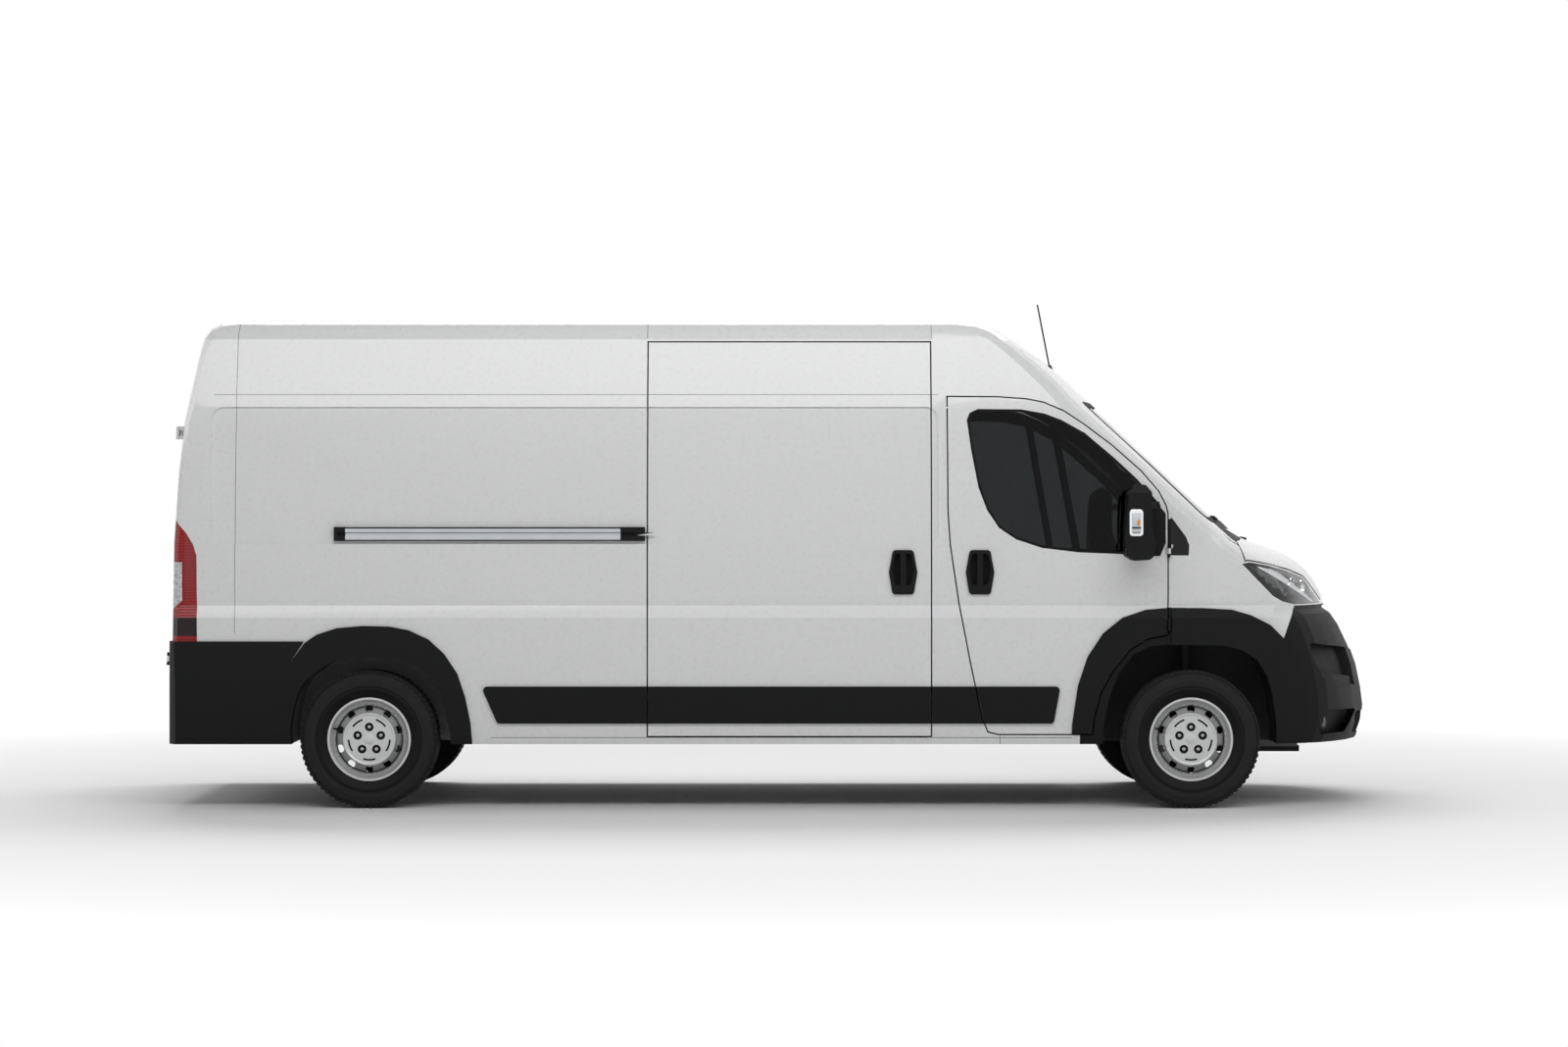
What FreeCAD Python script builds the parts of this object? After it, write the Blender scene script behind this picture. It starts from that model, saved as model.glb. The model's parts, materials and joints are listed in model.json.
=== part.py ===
# Long-wheelbase, high-roof panel van with a sliding door on its right side.
# +X points forward, +Y to the van's left, +Z up. The ground is z = 0 and x = 0 is mid-length.
import FreeCAD
import Part
import math
import os

V = FreeCAD.Vector
os.makedirs("parts", exist_ok=True)

# Driving sizes, mm. The length is over the rear doors' hinges, which stand proud of the tail.
LENGTH = 6014.0
HINGE_PROUD = 14.0
WHEELBASE = 4035.0
FRONT_OVERHANG = 970.0
HALF_WIDTH = 1010.0
ROOF_Z = 2430.0
TYRE_R = 338.0
TYRE_WIDTH = 215.0
FRONT_TRACK = 1810.0
REAR_TRACK = 1790.0

# Walls, gaps and fits, mm.
WALL = 60.0
TRIM_PROUD = 12.0
GLASS_SET = 4.0
PRESSING = 12.0
POCKET_DEPTH = 40.0
SHUT_GAP = 7.0
LEAF_CLEAR = 5.0
RUN_FIT = 0.1
RAIL_FIT = 0.3
CLEAR = 8.0

NOSE = LENGTH / 2
TAIL = HINGE_PROUD - LENGTH / 2
FRONT_AXLE = NOSE - FRONT_OVERHANG
REAR_AXLE = FRONT_AXLE - WHEELBASE

# Levels above the ground and stations along the van.
SILL_Z = 315.0
DOOR_SILL_Z = 349.0
CAB_FLOOR_Z = 440.0
LOAD_FLOOR_Z = 560.0
SEAM_Z = 2306.0
BULKHEAD_X = FRONT_AXLE - 1232
ROOF_FRONT_X = FRONT_AXLE - 1270
FLOOR_T = 30.0

# Centre-line profile. Each row has the distance from the tail or the nose, the height,
# the sweep back and the drop at the sides, and the depth of the rounded corner there.
TAIL_ROWS = [
    (15, 250, 0, 0, 40), (19, 814, 0, 0, 40), (26, 1300, 0, 0, 40), (47, 1640, 0, 0, 40),
    (73, 1900, 0, 0, 40), (138, 2230, 0, 0, 42), (160, 2318, 0, 4, 45), (192, 2372, 0, 12, 45),
    (245, 2408, 0, 22, 45), (330, 2426, 0, 30, 45), (480, 2430, 0, 35, 45)]
SCREEN_ROWS = [
    (2110, 2430, 0, 35, 45), (2000, 2421, 10, 38, 45), (1905, 2392, 30, 40, 45),
    (1790, 2325, 60, 40, 45), (1670, 2240, 80, 40, 48), (1550, 2145, 100, 40, 50),
    (1420, 2022, 125, 34, 50), (1075, 1700, 130, 20, 48), (725, 1375, 130, 10, 40)]
NOSE_ROWS = [
    (655, 1337, 150, 30, 35), (575, 1306, 170, 42, 35), (490, 1278, 195, 50, 35),
    (415, 1248, 215, 52, 38), (355, 1214, 235, 50, 40), (303, 1170, 255, 40, 42),
    (258, 1112, 275, 22, 45), (222, 1045, 290, 8, 48), (200, 975, 300, 0, 50),
    (160, 950, 300, 0, 55), (120, 890, 305, 0, 60), (75, 790, 312, 0, 62), (38, 690, 318, 0, 64),
    (12, 570, 325, 0, 64), (0, 480, 330, 0, 64), (8, 400, 330, 0, 62), (35, 325, 328, 0, 60),
    (90, 250, 325, 0, 60)]
# Half-width lost to each height (section) and to each station ahead of the tail (plan).
SIDE_SECTION = [
    (200, 35), (350, 12), (600, 3), (934, 0), (965, 9), (995, 18), (1045, 10), (1296, 10),
    (1640, 24), (1830, 45), (1970, 65), (2090, 90), (2306, 138), (2520, 222)]
PLAN_TAPER = [
    (-200, 0), (4400, 0), (4900, 6), (5150, 20), (5350, 40), (5500, 68), (5640, 106),
    (5760, 150), (5860, 198), (6000, 300), (6100, 400)]
# Fraction of the half-width and share of the corner depth at each station across.
ACROSS = [(0, 0), (0.4, 0), (0.65, 0), (0.82, 0), (0.92, 0.04), (0.97, 0.32), (1.01, 1.1)]
BEYOND = 1120.0


def along(table, at):
    for (a, b), (c, d) in zip(table, table[1:]):
        if at <= c:
            return b + (d - b) * (at - a) / (c - a)
    return table[-1][1]


def half_width(x, z):
    return HALF_WIDTH - along(SIDE_SECTION, z) - along(PLAN_TAPER, x - TAIL)


def profile_rows():
    rows = [(TAIL + a, z, s, d, r) for a, z, s, d, r in TAIL_ROWS]
    rows += [(NOSE - a, z, s, d, r) for a, z, s, d, r in SCREEN_ROWS + NOSE_ROWS]
    lift = ROOF_Z - 2430
    return [(x, z + lift * max(0.0, min(1.0, (z - 1400) / 1030)), s, d, r) for x, z, s, d, r in rows]


def across(rows, part, share, inset, flat_at=None):
    """One closed station of the envelope, following the body's own half-width."""
    points = []
    for i, (x, z, sweep, drop, corner) in enumerate(rows):
        before, after = rows[max(i - 1, 0)], rows[min(i + 1, len(rows) - 1)]
        dx, dz = after[0] - before[0], after[1] - before[1]
        length = math.hypot(dx, dz)
        inward = corner * share + inset
        at = abs(part)
        wide = at * (half_width(x - sweep, z) - inset)
        y = flat_at if flat_at is not None else math.copysign(wide, part)
        points.append(V(x - sweep * at ** 2.4 + dz / length * inward, y,
                        z - drop * at * at - dx / length * inward))
    return Part.makePolygon(points + [points[0]])


def hull(inset):
    """The closed body form, set in by a depth; a negative depth stands proud."""
    rows = profile_rows()
    last = ACROSS[-1]
    order = [(-p, s, None) for p, s in reversed(ACROSS)][:-1] + [(p, s, None) for p, s in ACROSS]
    order = [(-last[0], 1.5, -BEYOND)] + order + [(last[0], 1.5, BEYOND)]
    envelope = Part.makeLoft([across(rows, p, s, inset, f) for p, s, f in order], True, True)
    sections = []
    for along_x, _ in PLAN_TAPER:
        x = TAIL + along_x
        right = [V(x, -(half_width(x, z) - inset), z) for z, _ in SIDE_SECTION]
        left = [V(p.x, -p.y, p.z) for p in reversed(right)]
        sections.append(Part.makePolygon(right + left + [right[0]]))
    sides = Part.makeLoft(sections, True, True)
    return envelope.common(sides).Solids[0]


def corner_arc(before, at, after, radius):
    a, b = before - at, after - at
    a, b = a / a.Length, b / b.Length
    half = a.getAngle(b) / 2
    reach = radius / math.tan(half)
    middle = a + b
    middle = middle / middle.Length
    centre = at + middle * (radius / math.sin(half))
    return at + a * reach, centre - middle * radius, at + b * reach


def loop(points, radius=0.0):
    """A closed outline through points, with every corner rounded to the radius."""
    if radius <= 0:
        return Part.makePolygon(points + [points[0]])
    n = len(points)
    arcs = [corner_arc(points[i - 1], points[i], points[(i + 1) % n], radius) for i in range(n)]
    edges = []
    for i, (start, mid, end) in enumerate(arcs):
        edges.append(Part.Arc(start, mid, end).toShape())
        following = arcs[(i + 1) % n][0]
        if (following - end).Length > 0.01:
            edges.append(Part.makeLine(end, following))
    return Part.Wire(edges)


def prism_y(points, low, high, radius=0.0):
    wire = loop([V(x, low, z) for x, z in points], radius)
    return Part.Face(wire).extrude(V(0, high - low, 0))


def prism_x(points, low, high, radius=0.0):
    wire = loop([V(low, y, z) for y, z in points], radius)
    return Part.Face(wire).extrude(V(high - low, 0, 0))


def prism_z(points, low, high, radius=0.0):
    wire = loop([V(x, y, low) for x, y in points], radius)
    return Part.Face(wire).extrude(V(0, 0, high - low))


def box(x0, x1, y0, y1, z0, z1):
    return Part.makeBox(x1 - x0, y1 - y0, z1 - z0, V(x0, y0, z0))


def rod(start, end, radius):
    return Part.makeCylinder(radius, (end - start).Length, start, end - start)


def mirrored(shape):
    return shape.mirror(V(0, 0, 0), V(0, 1, 0))


def fused(first, *others):
    return first.fuse(list(others)).removeSplitter()


def solid(shape):
    """The one solid of a result; a stray sliver would be a mistake in the outlines."""
    kept = sorted(shape.Solids, key=lambda s: -s.Volume)
    if len(kept) > 1 and kept[1].Volume > 1000:
        print("more than one solid:", [round(s.Volume) for s in kept])
    return kept[0]


def save(name, shape):
    shape = solid(shape)
    shape.exportStep("parts/" + name + ".step")
    print(name, shape.isValid(), round(shape.Volume / 1e6, 2), len(shape.Faces))


SKIN = hull(0)
PROUD = hull(-TRIM_PROUD)
PRESSED = hull(PRESSING)
GLASS_FACE = hull(GLASS_SET)
LINING = hull(WALL)
SHELL = SKIN.cut(LINING)
TRIM = PROUD.cut(SKIN)
PANE = GLASS_FACE.cut(PRESSED)
PRESS_LAYER = SKIN.cut(PRESSED)
BACKING = PRESSED.cut(LINING)

FAR = 1300.0
ALL_X = (TAIL - 200, NOSE + 200)

# Outlines seen from the side, (x, z).
SLIDE_REAR_X = FRONT_AXLE - 2672
SLIDE_FRONT_X = FRONT_AXLE - 1271
HINGE_X = FRONT_AXLE - 110
DOOR_HINGE_Y = HALF_WIDTH + 2
DOOR_REAR_X = FRONT_AXLE - 1200


def ahead(points):
    """Points given from the front axle."""
    return [(FRONT_AXLE + x, z) for x, z in points]


CAB_DOOR = ahead([
    (-1200, 2026), (-1197, 1460), (-1186, 1291), (-1144, 1009), (-1087, 712), (-1031, 445),
    (-1000, 372), (-950, 359), (-480, 359), (-473, 445), (-438, 571), (-382, 670), (-297, 776),
    (-212, 828), (-110, 847), (-110, 1446), (-120, 1488), (-156, 1559), (-240, 1658),
    (-382, 1785), (-523, 1891), (-621, 1955), (-720, 1997), (-805, 2014), (-946, 2024)])
CAB_WINDOW = ahead([
    (-1100, 1906), (-1086, 1941), (-1044, 1960), (-832, 1958), (-718, 1938), (-634, 1906),
    (-520, 1842), (-379, 1722), (-266, 1616), (-195, 1538), (-150, 1488), (-150, 1240),
    (-322, 1246), (-549, 1255), (-732, 1277), (-860, 1319), (-944, 1376), (-1001, 1461),
    (-1044, 1573), (-1079, 1757)])
DIVIDER = ahead([(-708, 1990), (-672, 1990), (-531, 1200), (-567, 1200)])
MIRROR_PLATE = ahead([(-194, 1527), (-126, 1446), (-126, 1302), (-154, 1238), (-189, 1238)])
CORNER_PANE = ahead([(-100, 1240), (-100, 1432), (-26, 1333), (-9, 1291), (-12, 1241)])
SLIDING_DOOR = [(SLIDE_REAR_X, DOOR_SILL_Z), (SLIDE_REAR_X, 2297), (SLIDE_FRONT_X, 2297),
                (SLIDE_FRONT_X, DOOR_SILL_Z)]
FRONT_FLARE = ahead([
    (-590, 300), (-585, 414), (-557, 604), (-509, 746), (-433, 860), (-338, 936), (-224, 974),
    (-110, 984), (61, 982), (203, 974), (298, 946), (393, 898), (455, 837), (517, 756),
    (564, 651), (583, 528), (578, 300)])
FRONT_ARCH = ahead([
    (-433, 200), (-429, 414), (-405, 537), (-357, 661), (-291, 751), (-206, 794), (-110, 803),
    (156, 798), (250, 775), (326, 727), (374, 651), (403, 556), (422, 414), (426, 200)])
REAR_FLARE = [(REAR_AXLE + x, z) for x, z in [
    (-395, 300), (-395, 700), (-311, 813), (-253, 852), (-156, 884), (-28, 895), (101, 892),
    (197, 874), (294, 829), (371, 758), (435, 662), (474, 546), (500, 418), (509, 300)]]
REAR_ARCH = [(REAR_AXLE + x, z) for x, z in [
    (-371, 200), (-382, 393), (-366, 492), (-346, 565), (-309, 627), (-222, 695), (-169, 723),
    (-92, 734), (36, 736), (133, 730), (230, 701), (294, 643), (345, 566), (378, 482),
    (400, 372), (407, 200)]]
LAMP = ahead([(253, 1198), (288, 1206), (388, 1189), (506, 1160), (593, 1127), (700, 1000),
              (523, 998), (458, 1013), (406, 1042), (330, 1119)])
BONNET_SIDE = ahead([(190, 1420), (238, 1330), (266, 1209), (288, 1212), (388, 1195), (506, 1166),
                     (600, 1131), (712, 1004), (1000, 1004), (1000, 1420)])
BUMPER_SIDE = ahead([(461, 837), (523, 992), (1100, 992), (1100, 200), (426, 200), (455, 500)])
REAR_BUMPER_SIDE = [(TAIL - 100, 819), (REAR_AXLE - 317, 819), (REAR_AXLE - 395, 700),
                    (REAR_AXLE - 371, 200), (TAIL - 100, 200)]
TAIL_LAMP = [(TAIL - 50, 1440), (TAIL + 40, 1419), (TAIL + 100, 1350), (TAIL + 134, 1294),
             (TAIL + 151, 1238), (TAIL + 155, 819), (TAIL - 50, 819)]


def both_sides(points, inner=600.0, radius=0.0):
    """A cutter through both side walls that leaves the middle alone."""
    right = prism_y(points, -FAR, -inner, radius)
    return right, mirrored(right)


def side_prism(points, inner=600.0, radius=0.0):
    return prism_y(points, -FAR, -inner, radius)


def shrunk(points, by):
    """An outline set in by a distance, for the leaf inside its opening."""
    wire = loop([V(x, 0, z) for x, z in points])
    inner = wire.makeOffset2D(-by, 2)
    return [(v.Point.x, v.Point.z) for v in inner.OrderedVertexes]


MOULDING = [(REAR_AXLE + 552, 598), (FRONT_AXLE - 643, 598), (FRONT_AXLE - 676, 416),
            (REAR_AXLE + 632, 416)]
RECESS = [(TAIL + 222, 1297), (TAIL + 222, 1970), (FRONT_AXLE - 1242, 1970), (FRONT_AXLE - 1242, 1297)]

# Body shell, cut where the real panels meet.
WHOLE = box(*ALL_X, -FAR, FAR, SILL_Z, 2 * FAR)
recess_cut = PRESS_LAYER.common(Part.makeCompound(both_sides(RECESS, 700, 60)))
arch_cut = [s for points in (FRONT_ARCH, REAR_ARCH) for s in both_sides(points)]
body = SHELL.common(WHOLE).cut(arch_cut + recess_cut.Solids)
trims = TRIM.common(WHOLE).cut(arch_cut)

# Rear doors, seen from behind: outer edge, then the shared edge on the centre line.
REAR_EDGE = [(-860, LOAD_FLOOR_Z), (-860, 1300), (-768, 2292)]


def rear_leaf(gap, depth):
    """The right-hand rear door's outline as a cutter through the rear wall."""
    points = [(y + gap, z) for y, z in REAR_EDGE]
    points[0] = (points[0][0], points[0][1] + gap)
    points[-1] = (points[-1][0], points[-1][1] - gap)
    middle = -gap / 2
    return prism_x(points + [(middle, points[-1][1]), (middle, points[0][1])], TAIL - 100, TAIL + depth)


rear_opening = fused(rear_leaf(0, 250), mirrored(rear_leaf(0, 250)))
rear_door = SHELL.common(rear_leaf(SHUT_GAP, 250))
for points in ([(-735, 1330), (-690, 2120), (-80, 2120), (-80, 1330)],
               [(-770, 640), (-770, 1180), (-80, 1180), (-80, 640)]):
    rear_door = rear_door.cut(PRESS_LAYER.common(prism_x(points, TAIL - 100, TAIL + 250, 50)))

# Openings in the sides and their leaves. A door's free edge stays within its own swing.
door_cut = side_prism(CAB_DOOR)
window_cut = side_prism(CAB_WINDOW)
corner_cut = side_prism(CORNER_PANE)
door_swing = Part.makeCylinder(HINGE_X - DOOR_REAR_X - LEAF_CLEAR, 3000, V(HINGE_X, -DOOR_HINGE_Y, 0))
door_leaf = side_prism(shrunk(CAB_DOOR, SHUT_GAP)).common(door_swing)
slide_cut = side_prism(SLIDING_DOOR)
slide_leaf = side_prism(shrunk(SLIDING_DOOR, SHUT_GAP))
moulding = side_prism(MOULDING, 600, 20)
front_flare = side_prism(FRONT_FLARE)
rear_flare = side_prism(REAR_FLARE)

cab_door = body.common(door_leaf).cut(window_cut)
door_trim = trims.common(door_leaf).common(moulding.fuse(front_flare))
cab_door = fused(solid(cab_door), *door_trim.Solids)
divider = BACKING.common(side_prism(DIVIDER)).common(window_cut)
cab_door = fused(cab_door, *divider.Solids)
cab_glass = PANE.common(window_cut)
sliding_door = fused(solid(body.common(slide_leaf)), *trims.common(slide_leaf).common(moulding).Solids)

# Pull handles: a proud black housing with a pocket on each side of its grip.
HANDLE_Z, HANDLE_POCKET, GRIP_HALF = 1158.0, 30.0, 14.0
CAB_HANDLE_X, SLIDE_HANDLE_X = FRONT_AXLE - 1037, FRONT_AXLE - 1414


HANDLE_RIM = [(-50, 109), (50, 109), (70, 0), (52, -109), (-52, -109), (-70, 0)]
HANDLE_BED = [(-38, 91), (38, 91), (53, 15), (38, -62), (-38, -62), (-53, 15)]


def with_handle(door, x):
    side = half_width(x, HANDLE_Z)
    rim = [(x + a, HANDLE_Z + b) for a, b in HANDLE_RIM]
    bed = [(x + a, HANDLE_Z + b) for a, b in HANDLE_BED]
    housing = prism_y(rim, -side - TRIM_PROUD, -side + 6, 18)
    pocket = prism_y(bed, -FAR, -side + HANDLE_POCKET, 14)
    grip = box(x - GRIP_HALF, x + GRIP_HALF, -FAR, 0, HANDLE_Z - 109, HANDLE_Z + 109)
    return fused(door, housing).cut(pocket.cut(grip))


cab_door = with_handle(cab_door, CAB_HANDLE_X)
sliding_door = with_handle(sliding_door, SLIDE_HANDLE_X)

# Bonnet: its rear edge sweeps back towards the screen pillars.
SWEEP = [(FRONT_AXLE + 322, 0), (FRONT_AXLE + 295, 490), (FRONT_AXLE + 269, 650),
         (FRONT_AXLE + 226, 815), (FRONT_AXLE + 199, 900), (FRONT_AXLE + 185, 960)]


def swept(gap):
    """The plan area ahead of the bonnet's rear edge."""
    rear = [(x + gap, y) for x, y in SWEEP]
    rear = [(x, -y) for x, y in reversed(rear[1:])] + rear
    rear = [(rear[0][0], -FAR)] + rear + [(rear[-1][0], FAR)]
    return prism_z(rear + [(NOSE + 200, FAR), (NOSE + 200, -FAR)], 700, 1700)


bonnet_cut = prism_y(BONNET_SIDE, -FAR, FAR).common(swept(0))
bonnet = solid(SHELL.common(prism_y(shrunk(BONNET_SIDE, SHUT_GAP), -FAR, FAR)).common(swept(SHUT_GAP)))

# Screen and the plastic cover below it.
screen_cut = prism_x([(-872, 1402), (-722, 2000), (722, 2000), (872, 1402)],
                     FRONT_AXLE - 700, FRONT_AXLE + 320, 50)
windscreen = PANE.common(screen_cut)
cover_zone = box(FRONT_AXLE + 80, FRONT_AXLE + 330, -790, 790, 1250, 1402).cut([bonnet_cut, screen_cut])
scuttle = PRESS_LAYER.common(cover_zone)
wipers = []
for pivot, tip in ((-560, 30), (130, 720)):
    blade = [(pivot - 60, 1418), (tip, 1424), (tip, 1440), (pivot - 60, 1434)]
    arm = [(pivot - 14, 1370), (pivot + 14, 1370), (pivot + 330, 1424), (pivot + 300, 1436)]
    for points in (blade, arm):
        wipers += TRIM.common(prism_x(points, FRONT_AXLE, FRONT_AXLE + 330)).Solids
scuttle = fused(solid(scuttle), *wipers)

# Fixed panels.
bumper_zone = prism_y(BUMPER_SIDE, -FAR, FAR)
tail_zone = prism_y(REAR_BUMPER_SIDE, -FAR, FAR)
lamp_cut = side_prism(LAMP, 420)
tail_cut = side_prism(TAIL_LAMP, 863)
doors_out = body.cut([door_cut, mirrored(door_cut), slide_cut, rear_opening])
rest = doors_out.cut([bonnet_cut, bumper_zone, tail_zone, lamp_cut, mirrored(lamp_cut), tail_cut,
                      mirrored(tail_cut), screen_cut, corner_cut, mirrored(corner_cut), cover_zone])
flares = trims.common(Part.makeCompound([rear_flare, mirrored(rear_flare)])).cut(tail_zone)
mouldings = trims.common(Part.makeCompound([moulding, mirrored(moulding)])).cut(
    [slide_cut, door_cut, mirrored(door_cut)])

load_zone = box(TAIL - 200, ROOF_FRONT_X, -FAR, FAR, 0, SEAM_Z)
roof_zone = box(TAIL - 200, ROOF_FRONT_X, -FAR, FAR, SEAM_Z, ROOF_Z + 100)
ahead_zone = box(ROOF_FRONT_X, NOSE, -FAR, FAR, 0, ROOF_Z + 100)
WING_EDGE = ahead([(-110, 0), (-110, 1240), (-14, 1240), (-6, 1289), (114, 1395), (1200, 1395), (1200, 0)])
wing_zone = prism_y(WING_EDGE, -FAR, FAR)
right_half = box(*ALL_X, -FAR, 0, 0, 3000)
left_half = box(*ALL_X, 0, FAR, 0, 3000)


def with_trim(panel, trim, zone):
    pieces = trim.common(zone).Solids
    return fused(solid(panel), *pieces) if pieces else solid(panel)


load = rest.common(load_zone)
load_trim = Part.makeCompound(flares.Solids + mouldings.Solids)
load_right = with_trim(load.common(right_half), load_trim, load_zone.common(right_half))
load_left = with_trim(load.common(left_half), load_trim, load_zone.common(left_half))
load_roof = solid(rest.common(roof_zone))
ROOF_BEADS, BEAD_PITCH, BEAD_WIDE, BEAD_HALF_Y = 9, 340.0, 50.0, 610.0
beads = []
for i in range(ROOF_BEADS):
    x = TAIL + 480 + BEAD_PITCH * i
    beads.append(prism_z([(x, -BEAD_HALF_Y), (x + BEAD_WIDE, -BEAD_HALF_Y), (x + BEAD_WIDE, BEAD_HALF_Y),
                          (x, BEAD_HALF_Y)], SEAM_Z, ROOF_Z + 100, 20))
load_roof = load_roof.cut(PRESS_LAYER.common(Part.makeCompound(beads)))
cab = rest.common(ahead_zone).cut(wing_zone)
cab = with_trim(cab, mouldings, ahead_zone)
wing_trim = trims.common(front_flare).cut([door_cut, bumper_zone, box(0, HINGE_X + 12, -FAR, FAR, 0, 3000)])
wing_right = with_trim(rest.common(wing_zone).common(right_half), wing_trim, right_half)
lamp_right = SHELL.common(lamp_cut)
tail_lamp_right = SHELL.common(tail_cut)
corner_pane = PANE.common(corner_cut)
rear_bumper = doors_out.common(tail_zone)
rear_bumper = with_trim(rear_bumper, trims.common(tail_zone).cut(rear_opening), WHOLE)

# Front bumper with its grille opening, lower intake and lamp pockets.
GRILLE = [(-455, 985), (455, 985), (395, 760), (-395, 760)]
INTAKE = [(-520, 455), (520, 455), (480, 345), (-480, 345)]
CORNER_LEDGE = ahead([(598, 808), (862, 772), (885, 585), (700, 618), (660, 640), (612, 745)])
CORNER_POCKET = ahead([(598, 808), (862, 772), (880, 625), (700, 655), (648, 676), (612, 745)])
LAMP_POCKET = ahead([(684, 476), (880, 470), (800, 357), (648, 355)])
FOG_LAMP_R = 34.0
nose_x = (FRONT_AXLE + 560, NOSE + 100)
grille_cut = prism_x(GRILLE, *nose_x, 30)
intake_cut = prism_x(INTAKE, *nose_x, 25)
bumper = doors_out.common(bumper_zone)
bumper = with_trim(bumper, trims.common(bumper_zone).common(
    Part.makeCompound([front_flare, mirrored(front_flare)])), WHOLE).cut([grille_cut, intake_cut])
bumper = bumper.cut(PRESS_LAYER.common(Part.makeCompound(both_sides(CORNER_LEDGE, 480, 10))))
pocket_bed = hull(POCKET_DEPTH)
for points in (CORNER_POCKET, LAMP_POCKET):
    bumper = bumper.cut([side.cut(pocket_bed) for side in both_sides(points, 480, 10)])
fog_lamp = rod(V(FRONT_AXLE + 630, -790, 416), V(FRONT_AXLE + 668, -822, 416), FOG_LAMP_R)
bumper = fused(solid(bumper), fog_lamp.cut(LINING), mirrored(fog_lamp.cut(LINING)))
bars = []
for low, high, count, cut in ((760, 985, 5, grille_cut), (345, 455, 2, intake_cut)):
    pitch = (high - low) / (count + 1)
    slats = [box(*ALL_X, -FAR, FAR, low + pitch * (i + 1) - 9, low + pitch * (i + 1) + 9)
             for i in range(count)]
    posts = [box(*ALL_X, y - 8, y + 8, low - 5, high + 5) for y in (-230, 0, 230)]
    bars.append(BACKING.common(cut).common(fused(slats[0], *slats[1:], *posts)))

# Floors, sills and wheel houses, all inside the lining.
LINER_T = 12.0
LINER_OUT = 6.0
HOUSE_IN = 600.0
HOUSE_TOP = max(z for _, z in FRONT_ARCH) + LINER_OUT
ARM_HOLE, ARM_HOLE_Z, BEAM_HOLE_Z = 110.0, 480.0, 420.0
BULKHEAD_T = 20.0
TOW_HOLE_R, TOW_PITCH_X, TOW_PITCH_Z = 6.5, 100.0, 70.0


def grown(points, by):
    wire = loop([V(x, 0, z) for x, z in points])
    return [(v.Point.x, v.Point.z) for v in wire.makeOffset2D(by, 2).OrderedVertexes]


def wheel_house(arch, right_limit):
    """A liner that follows the arch outline, with a wall towards the middle of the van."""
    outer = prism_y(grown(arch, LINER_OUT + LINER_T), -right_limit, -HOUSE_IN)
    inner = prism_y(grown(arch, LINER_OUT), -right_limit - 10, -HOUSE_IN - LINER_T)
    return outer.cut(inner), outer


above_sill = box(*ALL_X, -FAR, FAR, SILL_Z, 3000)
rear_house, rear_void = wheel_house(REAR_ARCH, FAR)
front_house, front_void = wheel_house(FRONT_ARCH, FAR)
voids = [rear_void, mirrored(rear_void), front_void, mirrored(front_void)]
inner_y = -HOUSE_IN - LINER_T - 5
door_room = box(0, HINGE_X + 20, -FAR, -(HALF_WIDTH - WALL - 14), 0, 3000)
arm_hole = box(FRONT_AXLE - ARM_HOLE, FRONT_AXLE + ARM_HOLE, inner_y, -HOUSE_IN + 5, 0, ARM_HOLE_Z)
beam_hole = box(REAR_AXLE - ARM_HOLE, REAR_AXLE + ARM_HOLE, inner_y, -HOUSE_IN + 5, 0, BEAM_HOLE_Z)
front_house = front_house.common(LINING).common(above_sill).cut([door_room, arm_hole])
rear_house = rear_house.common(LINING).common(above_sill).cut(beam_hole)
floor_low, cab_low = LOAD_FLOOR_Z - FLOOR_T, CAB_FLOOR_Z - FLOOR_T
inside_y = HALF_WIDTH - WALL - 14
riser_x, bulk_x = BULKHEAD_X - BULKHEAD_T / 2 - FLOOR_T, BULKHEAD_X - BULKHEAD_T / 2
toe_x = FRONT_AXLE - 430
wall_x = (FRONT_AXLE + 110, FRONT_AXLE + 130)
load_floor = box(TAIL + WALL + 25, bulk_x, -inside_y, inside_y, floor_low, LOAD_FLOOR_Z)
riser = box(riser_x, bulk_x, -inside_y, inside_y, cab_low, LOAD_FLOOR_Z)
cab_floor = box(riser_x, toe_x, -inside_y, inside_y, cab_low, CAB_FLOOR_Z)
tunnel = box(toe_x - 20, wall_x[1], -HOUSE_IN, HOUSE_IN, cab_low, CAB_FLOOR_Z)
firewall = box(*wall_x, -HOUSE_IN, HOUSE_IN, cab_low, 1240)
firewall_top = box(*wall_x, -FAR, FAR, HOUSE_TOP + LINER_T + 2, 1240)
floor = fused(load_floor, riser, cab_floor, tunnel, firewall, firewall_top).common(LINING).cut(voids)

# Underframe: side rails, cross members and sills, under the floor.
RAIL_Y, RAIL_WIDE, RAIL_BOTTOM, FRONT_RAIL_BOTTOM = 450.0, 70.0, 400.0, 325.0
SILL_T = 50.0
underframe = []
for y in (-RAIL_Y - RAIL_WIDE / 2, RAIL_Y - RAIL_WIDE / 2):
    underframe.append(box(TAIL + 80, riser_x, y, y + RAIL_WIDE, RAIL_BOTTOM, floor_low))
    underframe.append(box(riser_x - 100, NOSE - 330, y, y + RAIL_WIDE, FRONT_RAIL_BOTTOM, cab_low))
for y in (-inside_y, inside_y - SILL_T):
    underframe.append(box(SLIDE_REAR_X - 200, riser_x, y, y + SILL_T, SILL_Z + 2, floor_low))
    underframe.append(box(SLIDE_REAR_X - 200, toe_x, y, y + SILL_T, SILL_Z + 2, cab_low))
for x in (-400, 400):
    underframe.append(box(x - 30, x + 30, -inside_y, inside_y, floor_low - 70, floor_low))
underframe = fused(*underframe).common(LINING).cut(voids)
tow_x, tow_z = TAIL + 150, (RAIL_BOTTOM + floor_low) / 2
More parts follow.
